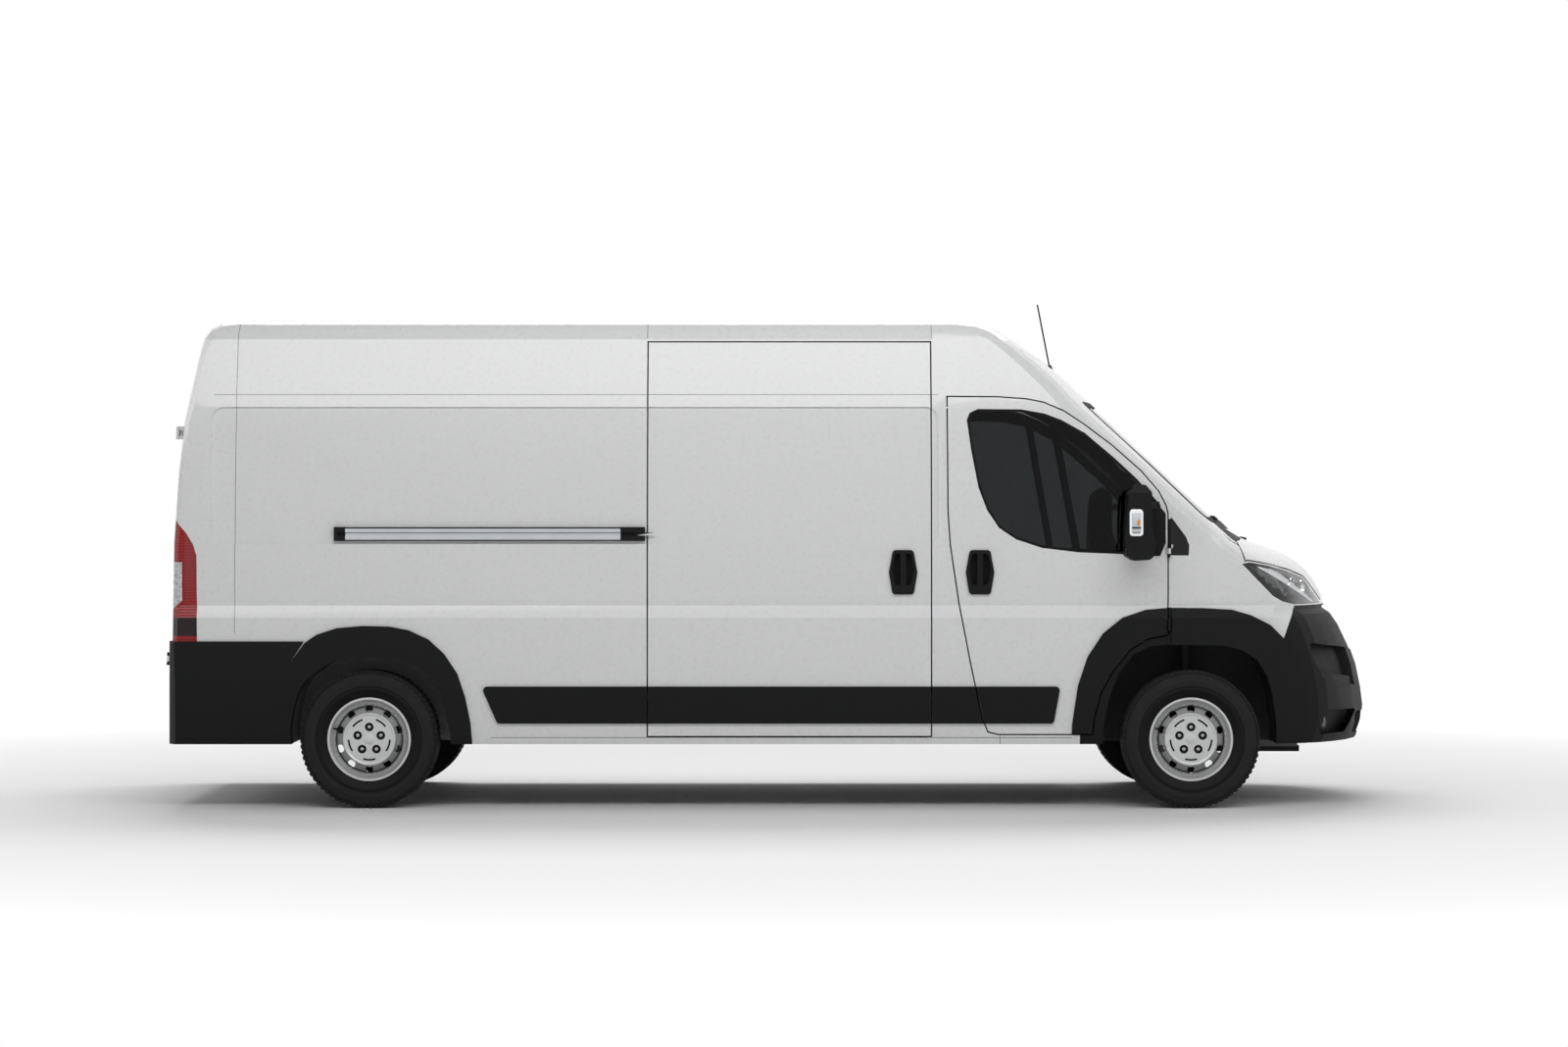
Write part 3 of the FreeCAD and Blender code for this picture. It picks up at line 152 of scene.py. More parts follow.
class Finish:
    """Builds one node material; most calls add a node and return its main output."""

    def __init__(self, name):
        self.mat = bpy.data.materials.new(name)
        self.mat.use_nodes = True
        self.tree = self.mat.node_tree
        self.shader = self.tree.nodes["Principled BSDF"]
        self.place = self.add("ShaderNodeTexCoord").outputs["Object"]
        FINISHES[name] = self.mat

    def add(self, kind, **values):
        node = self.tree.nodes.new(kind)
        for key, value in values.items():
            setattr(node, key, value)
        return node

    def link(self, out, socket):
        self.tree.links.new(out, socket)

    def put(self, name, value):
        self.shader.inputs[name].default_value = value

    def pattern(self, kind, out, place, **inputs):
        node = self.add("ShaderNode" + kind)
        for name, value in inputs.items():
            node.inputs[name].default_value = value
        self.link(place, node.inputs["Vector"])
        return node.outputs[out]

    def noise(self, scale, detail=3.0, roughness=0.5, stretch=None):
        place = self.pattern("Mapping", "Vector", self.place, Scale=stretch) if stretch else self.place
        return self.pattern("TexNoise", "Fac", place, Scale=scale, Detail=detail, Roughness=roughness)

    def cells(self, scale):
        return self.pattern("TexVoronoi", "Distance", self.place, Scale=scale)

    def ranged(self, value, kind, low, high):
        """A value stretched from a range to 0..1, or from 0..1 to a range, by kind."""
        node = self.add("ShaderNodeMapRange")
        node.inputs[kind + " Min"].default_value = low
        node.inputs[kind + " Max"].default_value = high
        self.link(value, node.inputs["Value"])
        return node.outputs["Result"]

    def between(self, value, start, end):
        """0 before start, 1 after end, with a straight rise between them."""
        return self.ranged(value, "From", start, end)

    def maths(self, operation, *values):
        node = self.add("ShaderNodeMath", operation=operation)
        for socket, value in zip(node.inputs, values):
            if isinstance(value, bpy.types.NodeSocket):
                self.link(value, socket)
            else:
                socket.default_value = value
        return node.outputs["Value"]

    def axes(self):
        node = self.add("ShaderNodeSeparateXYZ")
        self.link(self.place, node.inputs["Vector"])
        return node.outputs["X"], node.outputs["Y"], node.outputs["Z"]

    def blend(self, fac, low, high):
        """A colour between two, by a factor; each is a colour or an output."""
        node = self.add("ShaderNodeMix", data_type="RGBA")
        self.link(fac, node.inputs["Factor"])
        for name, value in (("A", low), ("B", high)):
            socket = [s for s in node.inputs if s.name == name and s.type == "RGBA"][0]
            if isinstance(value, bpy.types.NodeSocket):
                self.link(value, socket)
            else:
                socket.default_value = (*value, 1.0)
        return [s for s in node.outputs if s.type == "RGBA"][0]

    def colour(self, out):
        self.link(out, self.shader.inputs["Base Color"])

    def over(self, fac, colour):
        """Lays a colour over the finish's own, by a factor."""
        self.colour(self.blend(fac, self.shader.inputs["Base Color"].links[0].from_socket, colour))

    def rough(self, fac, low, high):
        self.link(self.ranged(fac, "To", low, high), self.shader.inputs["Roughness"])

    def bump(self, height, depth, before=None):
        """Bump of a real depth in metres; a second one is chained after the first."""
        node = self.add("ShaderNodeBump")
        node.inputs["Distance"].default_value = depth
        self.link(height, node.inputs["Height"])
        if before is not None:
            self.link(before, node.inputs["Normal"])
        self.link(node.outputs["Normal"], self.shader.inputs["Normal"])
        return node.outputs["Normal"]

    def times(self, first, second):
        return self.maths("MULTIPLY", first, second)

    def rest(self, value):
        return self.maths("SUBTRACT", 1.0, value)

    def above(self, value, limit):
        return self.maths("GREATER_THAN", value, limit)

    def below(self, value, limit):
        return self.maths("LESS_THAN", value, limit)

    def within(self, value, low, high):
        return self.times(self.above(value, low), self.below(value, high))

    def seam(self, value, at, half):
        """1 on a seam line at a place along one axis, falling to 0 beside it."""
        off = self.maths("ABSOLUTE", self.maths("SUBTRACT", value, at))
        return self.rest(self.between(off, half * 0.5, half))


def shade(colour, factor):
    return tuple(min(1.0, c * factor) for c in colour)


# Panel seams that are only drawn: the axis that each one crosses, its place there, and its reach
# along the other axis.
SEAMS = [("x", -2.654, 0.86, 9.0), ("x", -0.635, 2.31, 9.0), ("x", 0.767, 2.31, 9.0),
         ("z", 2.031, -2.765, 0.8), ("z", 0.347, -1.4, 1.45), ("x", 1.099, -9.0, 0.36)]


def make_paint():
    f = Finish("body_paint")
    base = tuple(colours().paint)
    x, _, z = f.axes()
    drawn = 0.0
    for axis, at, low, high in SEAMS:
        across, along = (x, z) if axis == "x" else (z, x)
        line = f.seam(across, at, sizes().seam_width / 2)
        drawn = f.maths("MAXIMUM", drawn, f.times(line, f.within(along, low, high)))
    coat = f.blend(f.noise(1.3, 2.0), shade(base, 0.985), base)
    # Darker and browner towards the bottom, in noisy patches below 0.75 m.
    low_darkening = f.times(f.rest(f.between(z, 0.3, 0.75)), f.noise(9.0, 5.0, 0.6))
    low_darkened = f.blend(f.times(low_darkening, 0.1), coat, (0.52, 0.5, 0.47))
    f.colour(f.blend(f.times(drawn, 0.75), low_darkened, (0.12, 0.12, 0.125)))
    f.rough(f.noise(40.0, 4.0), 0.24, 0.32)
    f.put("Coat Weight", 0.6)
    f.put("Coat Roughness", 0.06)
    peel = f.bump(f.noise(260.0, 1.0), 0.00002)
    f.bump(f.rest(drawn), 0.002, peel)


def make_plastic(name, base, low, high, grain=1400.0, depth=0.0003, shine=0.5):
    f = Finish(name)
    cloud = f.noise(6.0, 4.0, 0.6)
    fine = f.noise(grain * 0.4, 2.0)
    worn = f.blend(cloud, shade(base, 0.85), shade(base, 1.2))
    f.colour(f.blend(f.times(fine, 0.3), worn, shade(base, 1.6)))
    f.put("Specular IOR Level", shine)
    f.rough(cloud, low, high)
    f.bump(f.cells(grain), depth)
    return f


def make_tyre_rubber():
    f = Finish("tyre_rubber")
    f.colour(f.blend(f.noise(14.0, 5.0, 0.65), (0.013, 0.013, 0.014), (0.028, 0.027, 0.026)))
    f.put("Specular IOR Level", 0.15)
    f.rough(f.noise(60.0, 4.0), 0.62, 0.85)
    f.bump(f.noise(500.0, 3.0), 0.0004)


def make_metal(name, base, low, high, metallic, stretch=None, depth=0.00006):
    f = Finish(name)
    grain = f.noise(120.0, 4.0, 0.6, stretch)
    f.colour(f.blend(f.noise(9.0, 4.0), shade(base, 0.9), shade(base, 1.06)))
    f.put("Metallic", metallic)
    f.rough(grain, low, high)
    f.bump(grain, depth)
    return f


def make_glass(name, tint, index, shine=0.5):
    f = Finish(name)
    f.colour(f.blend(f.noise(3.0, 3.0), shade(tint, 0.92), tint))
    f.put("Transmission Weight", 1.0)
    f.put("IOR", index)
    f.put("Specular IOR Level", shine)
    f.rough(f.noise(18.0, 5.0), 0.0, 0.004)


def make_tail_lens():
    """Red lens with a clear section towards the rear and a dark lower field, in fine ribs."""
    f = Finish("tail_lens")
    x, _, z = f.axes()
    ribs = f.add("ShaderNodeTexWave", bands_direction="Z")
    ribs.inputs["Scale"].default_value = 22.0
    f.link(f.place, ribs.inputs["Vector"])
    rib, facet = ribs.outputs["Fac"], f.cells(70.0)
    # The clear section narrows towards its foot.
    clear_x, clear_low, clear_high, side_x = -2.913, 0.965, 1.207, -2.901
    lean = f.times(f.rest(f.between(z, clear_low, 1.02)), 0.06)
    clear = f.times(f.within(z, clear_low, clear_high), f.below(f.maths("ADD", x, lean), clear_x))
    side = f.times(f.above(x, side_x), f.between(z, 0.93, 1.15))
    red = f.blend(rib, (0.2, 0.001, 0.002), (0.46, 0.004, 0.006))
    pale = f.blend(rib, (0.28, 0.02, 0.024), (0.34, 0.034, 0.038))
    white = f.blend(facet, (0.36, 0.36, 0.37), (0.86, 0.86, 0.87))
    lens = f.blend(clear, f.blend(side, red, pale), white)
    f.colour(f.blend(f.within(z, 0.846, 0.936), lens, (0.012, 0.0005, 0.001)))
    f.rough(f.noise(30.0), 0.06, 0.12)
    f.put("Specular IOR Level", 0.3)
    f.bump(f.maths("ADD", rib, facet), 0.0005)


def make_fabric():
    f = Finish("seat_fabric")
    base = tuple(colours().fabric)
    f.colour(f.blend(f.noise(900.0, 2.0), shade(base, 0.6), shade(base, 1.5)))
    f.rough(f.noise(8.0, 4.0), 0.85, 0.98)
    f.put("Sheen Weight", 0.4)
    f.put("Sheen Roughness", 0.5)
    f.bump(f.pattern("TexBrick", "Fac", f.place, Scale=260.0), 0.0006)


def make_gloss(name, scale, dark, light, low, high, metallic=0.0):
    f = Finish(name)
    f.colour(f.blend(f.noise(scale), dark, light))
    f.put("Metallic", metallic)
    f.rough(f.noise(20.0), low, high)


def make_floor_paint():
    """Grey load floor, and a dark rubber mat ahead of the bulkhead."""
    f = make_plastic("floor_paint", (0.16, 0.165, 0.17), 0.4, 0.55, 160.0, 0.0004)
    mat_x = 0.805
    f.over(f.above(f.axes()[0], mat_x), (0.02, 0.02, 0.021))


def make_rail():
    """Drawn aluminium, with painted shade along two grooves and along a fine one between them."""
    f = make_metal("rail_aluminium", (0.5, 0.52, 0.54), 0.22, 0.36, 0.9, (0.02, 1.0, 1.0))
    z = f.axes()[2]
    # Dark lines where the grooves run: painted shade.
    wide = f.maths("MAXIMUM", f.seam(z, 1.376, 0.006), f.seam(z, 1.314, 0.005))
    fine = f.times(f.seam(z, 1.352, 0.004), 0.6)
    f.over(f.maths("MAXIMUM", wide, fine), (0.03, 0.03, 0.032))


def make_finishes():
    c = colours()
    make_paint()
    # Name, colour, roughness from and to, grain, depth of the grain, shine.
    for row in (("black_plastic", tuple(c.plastic), 0.44, 0.58, 1400.0, 0.0003, 0.12),
                ("gloss_black", (0.006, 0.006, 0.007), 0.12, 0.2, 300.0, 0.00005, 0.25),
                ("lamp_black", (0.012, 0.012, 0.013), 0.25, 0.4, 500.0, 0.0001, 0.2),
                ("cabin_plastic", (0.04, 0.041, 0.044), 0.5, 0.65, 900.0),
                ("headliner", (0.34, 0.34, 0.335), 0.8, 0.92, 700.0, 0.0005, 0.2),
                ("underbody_black", (0.014, 0.014, 0.015), 0.55, 0.8, 90.0, 0.0008, 0.3),
                ("seal_rubber", (0.006, 0.006, 0.006), 0.55, 0.7, 600.0, 0.0002, 0.12),
                ("bead_rubber", (0.006, 0.006, 0.006), 0.45, 0.6, 600.0, 0.0002, 0.12)):
        make_plastic(*row)
    make_floor_paint()
    make_tyre_rubber()
    make_metal("wheel_silver", tuple(c.steel), 0.32, 0.46, 0.45)
    # A darker copy of the wheel silver, as painted shade on the rim's recessed disc.
    make_metal("wheel_steel_shaded", shade(tuple(c.steel), 0.36), 0.36, 0.5, 0.45)
    make_rail()
    make_metal("bolt_steel", (0.5, 0.5, 0.51), 0.22, 0.36, 1.0)
    make_metal("cast_metal", (0.17, 0.17, 0.175), 0.5, 0.7, 0.6, None, 0.0006)
    make_metal("reflector", (0.84, 0.845, 0.85), 0.08, 0.16, 1.0)
    make_glass("cab_glass", tuple(c.tint), 1.22)
    make_glass("screen_glass", (0.38, 0.41, 0.41), 1.3, 0.08)
    make_glass("lamp_lens", (0.84, 0.85, 0.86), 1.3)
    make_tail_lens()
    make_fabric()
    make_gloss("amber_lens", 60.0, (0.75, 0.26, 0.03), (0.9, 0.36, 0.06), 0.08, 0.14)
    make_gloss("mirror_glass", 6.0, (0.78, 0.8, 0.8), (0.84, 0.85, 0.85), 0.02, 0.05, 1.0)


# Making pieces.

# Angles between faces past which an edge is sharp.
SHARP, CREASE, TREAD_SHARP, PAD_SHARP = [math.radians(a) for a in (30, 13, 24, 75)]
SWELL_FRAMES = 16


def mark_sharp(bm, limit):
    for face in bm.faces:
        face.smooth = True
    for edge in bm.edges:
        if len(edge.link_faces) != 2 or edge.calc_face_angle(0.0) > limit:
            edge.smooth = False


def mesh_from(name, bm):
    """A mesh from a bmesh, which is then freed."""
    mesh = bpy.data.meshes.new(name)
    bm.to_mesh(mesh)
    bm.free()
    return mesh


def in_scene(name, data):
    """A new object in the scene."""
    obj = bpy.data.objects.new(name, data)
    bpy.context.scene.collection.objects.link(obj)
    return obj


def piece(name, bm, finishes, body, sharp=SHARP):
    """A finished object from a bmesh: its finishes, its smooth faces and the body it rides on."""
    bm.normal_update()
    mark_sharp(bm, sharp)
    mesh = mesh_from(name, bm)
    for finish in finishes:
        mesh.materials.append(FINISHES[finish])
    obj = in_scene(name, mesh)
    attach(obj, body)
    return obj


def body_of(node):
    for name, nodes in frame["record"]["behaviour"]["bodies"].items():
        if node in nodes:
            return name
    raise ValueError(node)


def solid_copy(node):
    """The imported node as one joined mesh."""
    bm = bmesh.new()
    bm.from_mesh(frame["nodes"][node].data)
    bmesh.ops.remove_doubles(bm, verts=bm.verts, dist=0.00002)
    bm.normal_update()
    return bm


def tree_of(node):
    bm = bmesh.new()
    bm.from_mesh(frame["nodes"][node].data)
    tree = BVHTree.FromBMesh(bm)
    bm.free()
    return tree


def cut_at(bm, at, way, clear=False):
    """Splits the faces of a mesh along a plane, and can take away what lies beyond it."""
    return bmesh.ops.bisect_plane(bm, geom=bm.verts[:] + bm.edges[:] + bm.faces[:], dist=0.00001,
                                  plane_co=at, plane_no=way, clear_outer=clear)["geom_cut"]


def planes(at_x, at_z):
    """Cutting planes across the van, then level ones."""
    return [((x, 0, 0), (1, 0, 0)) for x in at_x] + [((0, 0, z), (0, 0, 1)) for z in at_z]


def skin_panel(node, finishes, sort=None, cuts=()):
    """A merged copy that stands for the node, with its faces sorted into the finishes."""
    bm = solid_copy(node)
    for at, way in cuts:
        cut_at(bm, at, way)
    if sort:
        for face in bm.faces:
            face.material_index = sort(face.calc_center_median(), face.normal)
    obj = piece(node + "_skin", bm, finishes, body_of(node), CREASE)
    mod = obj.modifiers.new("Even shading", "WEIGHTED_NORMAL")
    mod.keep_sharp = True
    mod.weight = 50
    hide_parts(node)


def dress(node, finish):
    """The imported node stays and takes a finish."""
    obj = frame["nodes"][node]
    obj.data.materials.clear()
    obj.data.materials.append(FINISHES[finish])


def sheet_from(node, keep):
    """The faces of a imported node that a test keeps, as an open sheet."""
    bm = solid_copy(node)
    bmesh.ops.delete(bm, geom=[f for f in bm.faces if not keep(f)], context="FACES")
    return bm


def moved_out(bm, by):
    bm.normal_update()
    for vert in bm.verts:
        vert.co += vert.normal * by


def thicken(bm, by):
    """Gives an open sheet its thickness, inwards."""
    bm.normal_update()
    bmesh.ops.solidify(bm, geom=bm.faces[:], thickness=by)


def move(x, y, z):
    return Matrix.Translation((x, y, z))


def turn(degrees, axis):
    return Matrix.Rotation(math.radians(degrees), 4, axis)


def facing(at, way):
    """A frame at a place whose own Z axis points a given way."""
    return move(*at) @ Vector(way).to_track_quat("Z", "Y").to_matrix().to_4x4()


def placed(bm, matrix):
    bmesh.ops.transform(bm, matrix=matrix, verts=bm.verts)
    return bm


def merged(parts):
    """One bmesh from pairs of a bmesh and its finish's place in the list."""
    whole = bmesh.new()
    for bm, finish in parts:
        for face in bm.faces:
            face.material_index = finish
        mesh = mesh_from("part", bm)
        whole.from_mesh(mesh)
        bpy.data.meshes.remove(mesh)
    return whole


def turned(profile, matrix, segments):
    """A closed ring or dome from (radius, height) points, turned about the frame's own Z axis."""
    bm = bmesh.new()
    verts = [bm.verts.new((r, 0, z)) for r, z in profile]
    edges = [bm.edges.new(pair) for pair in zip(verts, verts[1:] + verts[:1])]
    bmesh.ops.spin(bm, geom=verts + edges, cent=(0, 0, 0), axis=(0, 0, 1), angle=math.tau, steps=segments,
                   use_merge=True)
    bmesh.ops.remove_doubles(bm, verts=bm.verts, dist=0.00001)
    bmesh.ops.dissolve_degenerate(bm, edges=bm.edges, dist=0.00001)
    bmesh.ops.recalc_face_normals(bm, faces=bm.faces)
    return placed(bm, matrix)


def cube(size):
    bm = bmesh.new()
    bmesh.ops.create_cube(bm, size=1.0, matrix=Matrix.Diagonal((*size, 1.0)))
    return bm


def rounded(bm, edges, by, segments):
    bmesh.ops.bevel(bm, geom=edges, offset=by, offset_type="OFFSET", affect="EDGES", segments=segments,
                    profile=0.5, material=-1, clamp_overlap=True)


def block(size, matrix, round_by=0.0, segments=3):
    """A block with rounded edges, placed by a matrix."""
    bm = cube(size)
    if round_by:
        rounded(bm, bm.edges[:], round_by, segments)
    return placed(bm, matrix)


def tile(size, matrix, corner, edge):
    """A flat slab: its corners round in its own plane, then a small round along its rims."""
    bm = cube(size)
    upright = [e for e in bm.edges if abs(e.verts[0].co.z - e.verts[1].co.z) > size[2] * 0.5]
    rounded(bm, upright, corner, 5)
    rounded(bm, [e for e in bm.edges if e.calc_face_angle(0.0) > SHARP * 2], edge, 2)
    return placed(bm, matrix)


def arc(radius, angles, x=0.0, y=0.0):
    return [(x + radius * math.cos(a), y + radius * math.sin(a)) for a in angles]


def circle(radius, count, x=0.0, y=0.0):
    return arc(radius, [math.tau * i / count for i in range(count)], x, y)


def arc_slot(radius, width, middle, half):
    """A slot along an arc; the angles are in degrees."""
    angles = [math.radians(middle - half + half * 2 * i / 8) for i in range(9)]
    return arc(radius + width / 2, angles) + arc(radius - width / 2, angles)[::-1]


def plate(outlines, thick, matrix):
    """A flat plate: the first outline is its edge and the others are cut out of it."""
    bm = bmesh.new()
    for points in outlines:
        verts = [bm.verts.new((x, y, 0)) for x, y in points]
        for pair in zip(verts, verts[1:] + verts[:1]):
            bm.edges.new(pair)
    bmesh.ops.triangle_fill(bm, edges=bm.edges[:], use_beauty=True)
    bm.normal_update()
    bmesh.ops.reverse_faces(bm, faces=[f for f in bm.faces if f.normal.z < 0])
    thicken(bm, thick)
    return placed(bm, matrix)


def hit(tree, origin, way):
    """Where a straight line from a place first meets a surface."""
    at = tree.ray_cast(Vector(origin), Vector(way))[0]
    if at is None:
        raise ValueError("nothing lies that way")
    return at


# Panels. Each sorting rule names the finish of one face by its middle and its outward way.

PAINT, BLACK, INSIDE = 0, 1, 2


def at_handle(at, out, x):
    """True on a pull handle: its housing, its pocket and its grip, not the skin round it."""
    if abs(at.x - x) > HANDLE_HALF[0] or abs(at.z - HANDLE_Z) > HANDLE_HALF[1]:
        return False
    return abs(out.y) < 0.6 or not -0.002 < depth_in(at) < 0.003


def is_trim(at):
    """True where a face stands proud of the painted side, below the belt."""
    return depth_in(at) < -0.0008 and at.z < BELT_Z and abs(at.y) > FLANK_Y


def at_shut(at, out):
    """True on the rearward faces that close the gap ahead of a front door; their black stands for the door
    seal and is painted shade in the gap.
    """
    return out.x < -0.9 and abs(at.x - DOOR_SHUT_X) < 0.004


def in_arch(at, out):
    """True on the lips that turn in round a wheel opening."""
    offs = [Vector((at.x - x, 0, at.z - AXLE_Z)) for x in (FRONT_AXLE_X, REAR_AXLE_X)]
    return any(off.length < ARCH_REACH and out.dot(off.normalized()) < -0.4 for off in offs)


def side_finish(at, out):
    if at.x < UPPER_HINGE_X and abs(at.z - UPPER_HINGE_Z) < 0.055 and abs(at.y) > FLANK_Y:
        return INSIDE
    edge = SHUT_START_X < at.x < SHUT_END_X and at.z < FLARE_TOP
    return BLACK if is_trim(at) or at_shut(at, out) or in_arch(at, out) or edge else PAINT


def slide_finish(at, out):
    return BLACK if is_trim(at) or at.x < SLIDE_REAR_X or at_handle(at, out, SLIDE_HANDLE_X) else PAINT


def door_finish(side):
    glass = tree_of("front_glass_" + side)

    def sort(at, out):
        depth = depth_in(at)
        edge = at.x > DOOR_EDGE_X and at.z < FLARE_TOP
        if is_trim(at) or in_arch(at, out) or at_handle(at, out, CAB_HANDLE_X) or edge:
            return BLACK
        near = glass.find_nearest(at, 0.035)[0]
        if depth > 0.005 and near is not None:
            gap = near - at
            if math.hypot(gap.x, gap.z) < 0.006 or gap.dot(out) > 0:
                return BLACK
        return INSIDE if depth > 0.02 and out.y * at.y < 0 and abs(out.y) > 0.35 else PAINT
    return sort


def beside_pane(at):
    """True on the strip of the cab that shows round the rear edge of a corner pane and in the gap below it;
    its black stands for the seal and is painted shade in the gap.
    """
    ahead = SHUT_LINE_X if at.z < PANE_LOW else PANE_FOOT_X if at.z < PANE_STEP else PANE_START_X
    return SHUT_START_X < at.x < ahead and PANE_SEAL_AND_SHADE < at.z < PANE_HIGH


def cab_finish(screen):
    def sort(at, out):
        if abs(out.x) < 0.1 and screen.find_nearest(at, 0.045)[0] is not None:
            return BLACK
        arch = at.x > SILL_END_X and math.hypot(at.x - FRONT_AXLE_X, at.z - AXLE_Z) < CAB_ARCH_REACH
        if is_trim(at) or at_shut(at, out) or arch or beside_pane(at):
            return BLACK
        return INSIDE if (at - CAB_MIDDLE).dot(out) < 0 and depth_in(at) > 0.03 else PAINT
    return sort


def tail_finish(at, out):
    for x, z in ((LOWER_HINGE_X, LOWER_HINGE_Z), (UPPER_HINGE_X, UPPER_HINGE_Z)):
        if abs(at.y) > 0.78 and at.x < x and abs(at.z - z) < 0.04:
            return INSIDE
    handle = abs(at.y - TAIL_HANDLE_Y) < 0.09 and abs(at.z - TAIL_HANDLE_Z) < 0.056 and at.x < -2.932
    return BLACK if handle and (abs(at.x - TAIL_HANDLE_X) > 0.002 or abs(out.x) < 0.6) else PAINT


def rail_finish(at, _):
    return PAINT if RAIL_ENDS[0] <= at.x <= RAIL_ENDS[1] else BLACK


def mirror_finish(at, _):
    return BLACK if at.z > MIRROR_CAP_Z and abs(at.y) > 1.06 else PAINT


class Step:
    bl_options = {"REGISTER"}

    def execute(self, context):
        self.make()
        return {"FINISHED"}


class VanPanels(Step, bpy.types.Operator):
    """Painted panels with their black arch trims, mouldings and handles"""
    bl_idname = "van.panels"
    bl_label = "Painted panels"

    def make(self):
        paint, black = "body_paint", "black_plastic"
        for side, _ in SIDES:
            skin_panel("load_side_" + side, [paint, black, "bolt_steel"], side_finish)
            skin_panel("wing_" + side, [paint, black], side_finish,
                       planes([SHUT_END_X], [FLARE_TOP]))
            skin_panel("front_door_" + side, [paint, black, "cabin_plastic"], door_finish(side),
                       planes([DOOR_EDGE_X], [FLARE_TOP]))
            skin_panel("rear_door_" + side, [paint, black, "bolt_steel"], tail_finish)
            skin_panel("mirror_" + side, [black, "gloss_black"], mirror_finish,
                       planes([], [MIRROR_CAP_Z]))
        skin_panel("sliding_door", [paint, black], slide_finish)
        skin_panel("cab_shell", [paint, black, "headliner"], cab_finish(tree_of("windscreen")),
                   planes([SILL_END_X, SHUT_LINE_X, PANE_START_X, PANE_FOOT_X],
                          [PANE_LOW, PANE_STEP, PANE_HIGH]))
        skin_panel("load_roof", [paint])
        skin_panel("bonnet", [paint])
        skin_panel("slide_rail", ["rail_aluminium", black], rail_finish, planes(RAIL_ENDS, []))
        for node in ("bumper_front", "bumper_rear", "scuttle"):
            skin_panel(node, [black])


class VanGlass(Step, bpy.types.Operator):
    """Windscreen and door glass with their black borders, and the dark corner panes"""
    bl_idname = "van.glass"
    bl_label = "Glass"

    def make(self):
        skin_panel("windscreen", ["screen_glass"])
        self.border("windscreen", lambda f: f.normal.x > 0.2, 0.034, "van", 0.006)
        for side, way in SIDES:
            node = "front_glass_" + side
            skin_panel(node, ["cab_glass"])
            self.border(node, lambda f, w=way: f.normal.y * w > 0.5, 0.013, "cab_door_" + side, 0.0005)
            skin_panel("corner_pane_" + side, ["gloss_black"])

    def border(self, node, keep, width, body, proud):
        """A black band along the edge of a pane, printed on it or standing proud as its seal."""
        bm = sheet_from(node, keep)
        ring = bmesh.ops.inset_region(bm, faces=bm.faces[:], thickness=width, depth=0.0, use_boundary=True,
                                      use_even_offset=True)["faces"]
        kept = set(ring)
        bmesh.ops.delete(bm, geom=[f for f in bm.faces if f not in kept], context="FACES")
        moved_out(bm, proud)
        thicken(bm, proud + 0.0003)
        piece(node + "_border", bm, ["seal_rubber"], body)


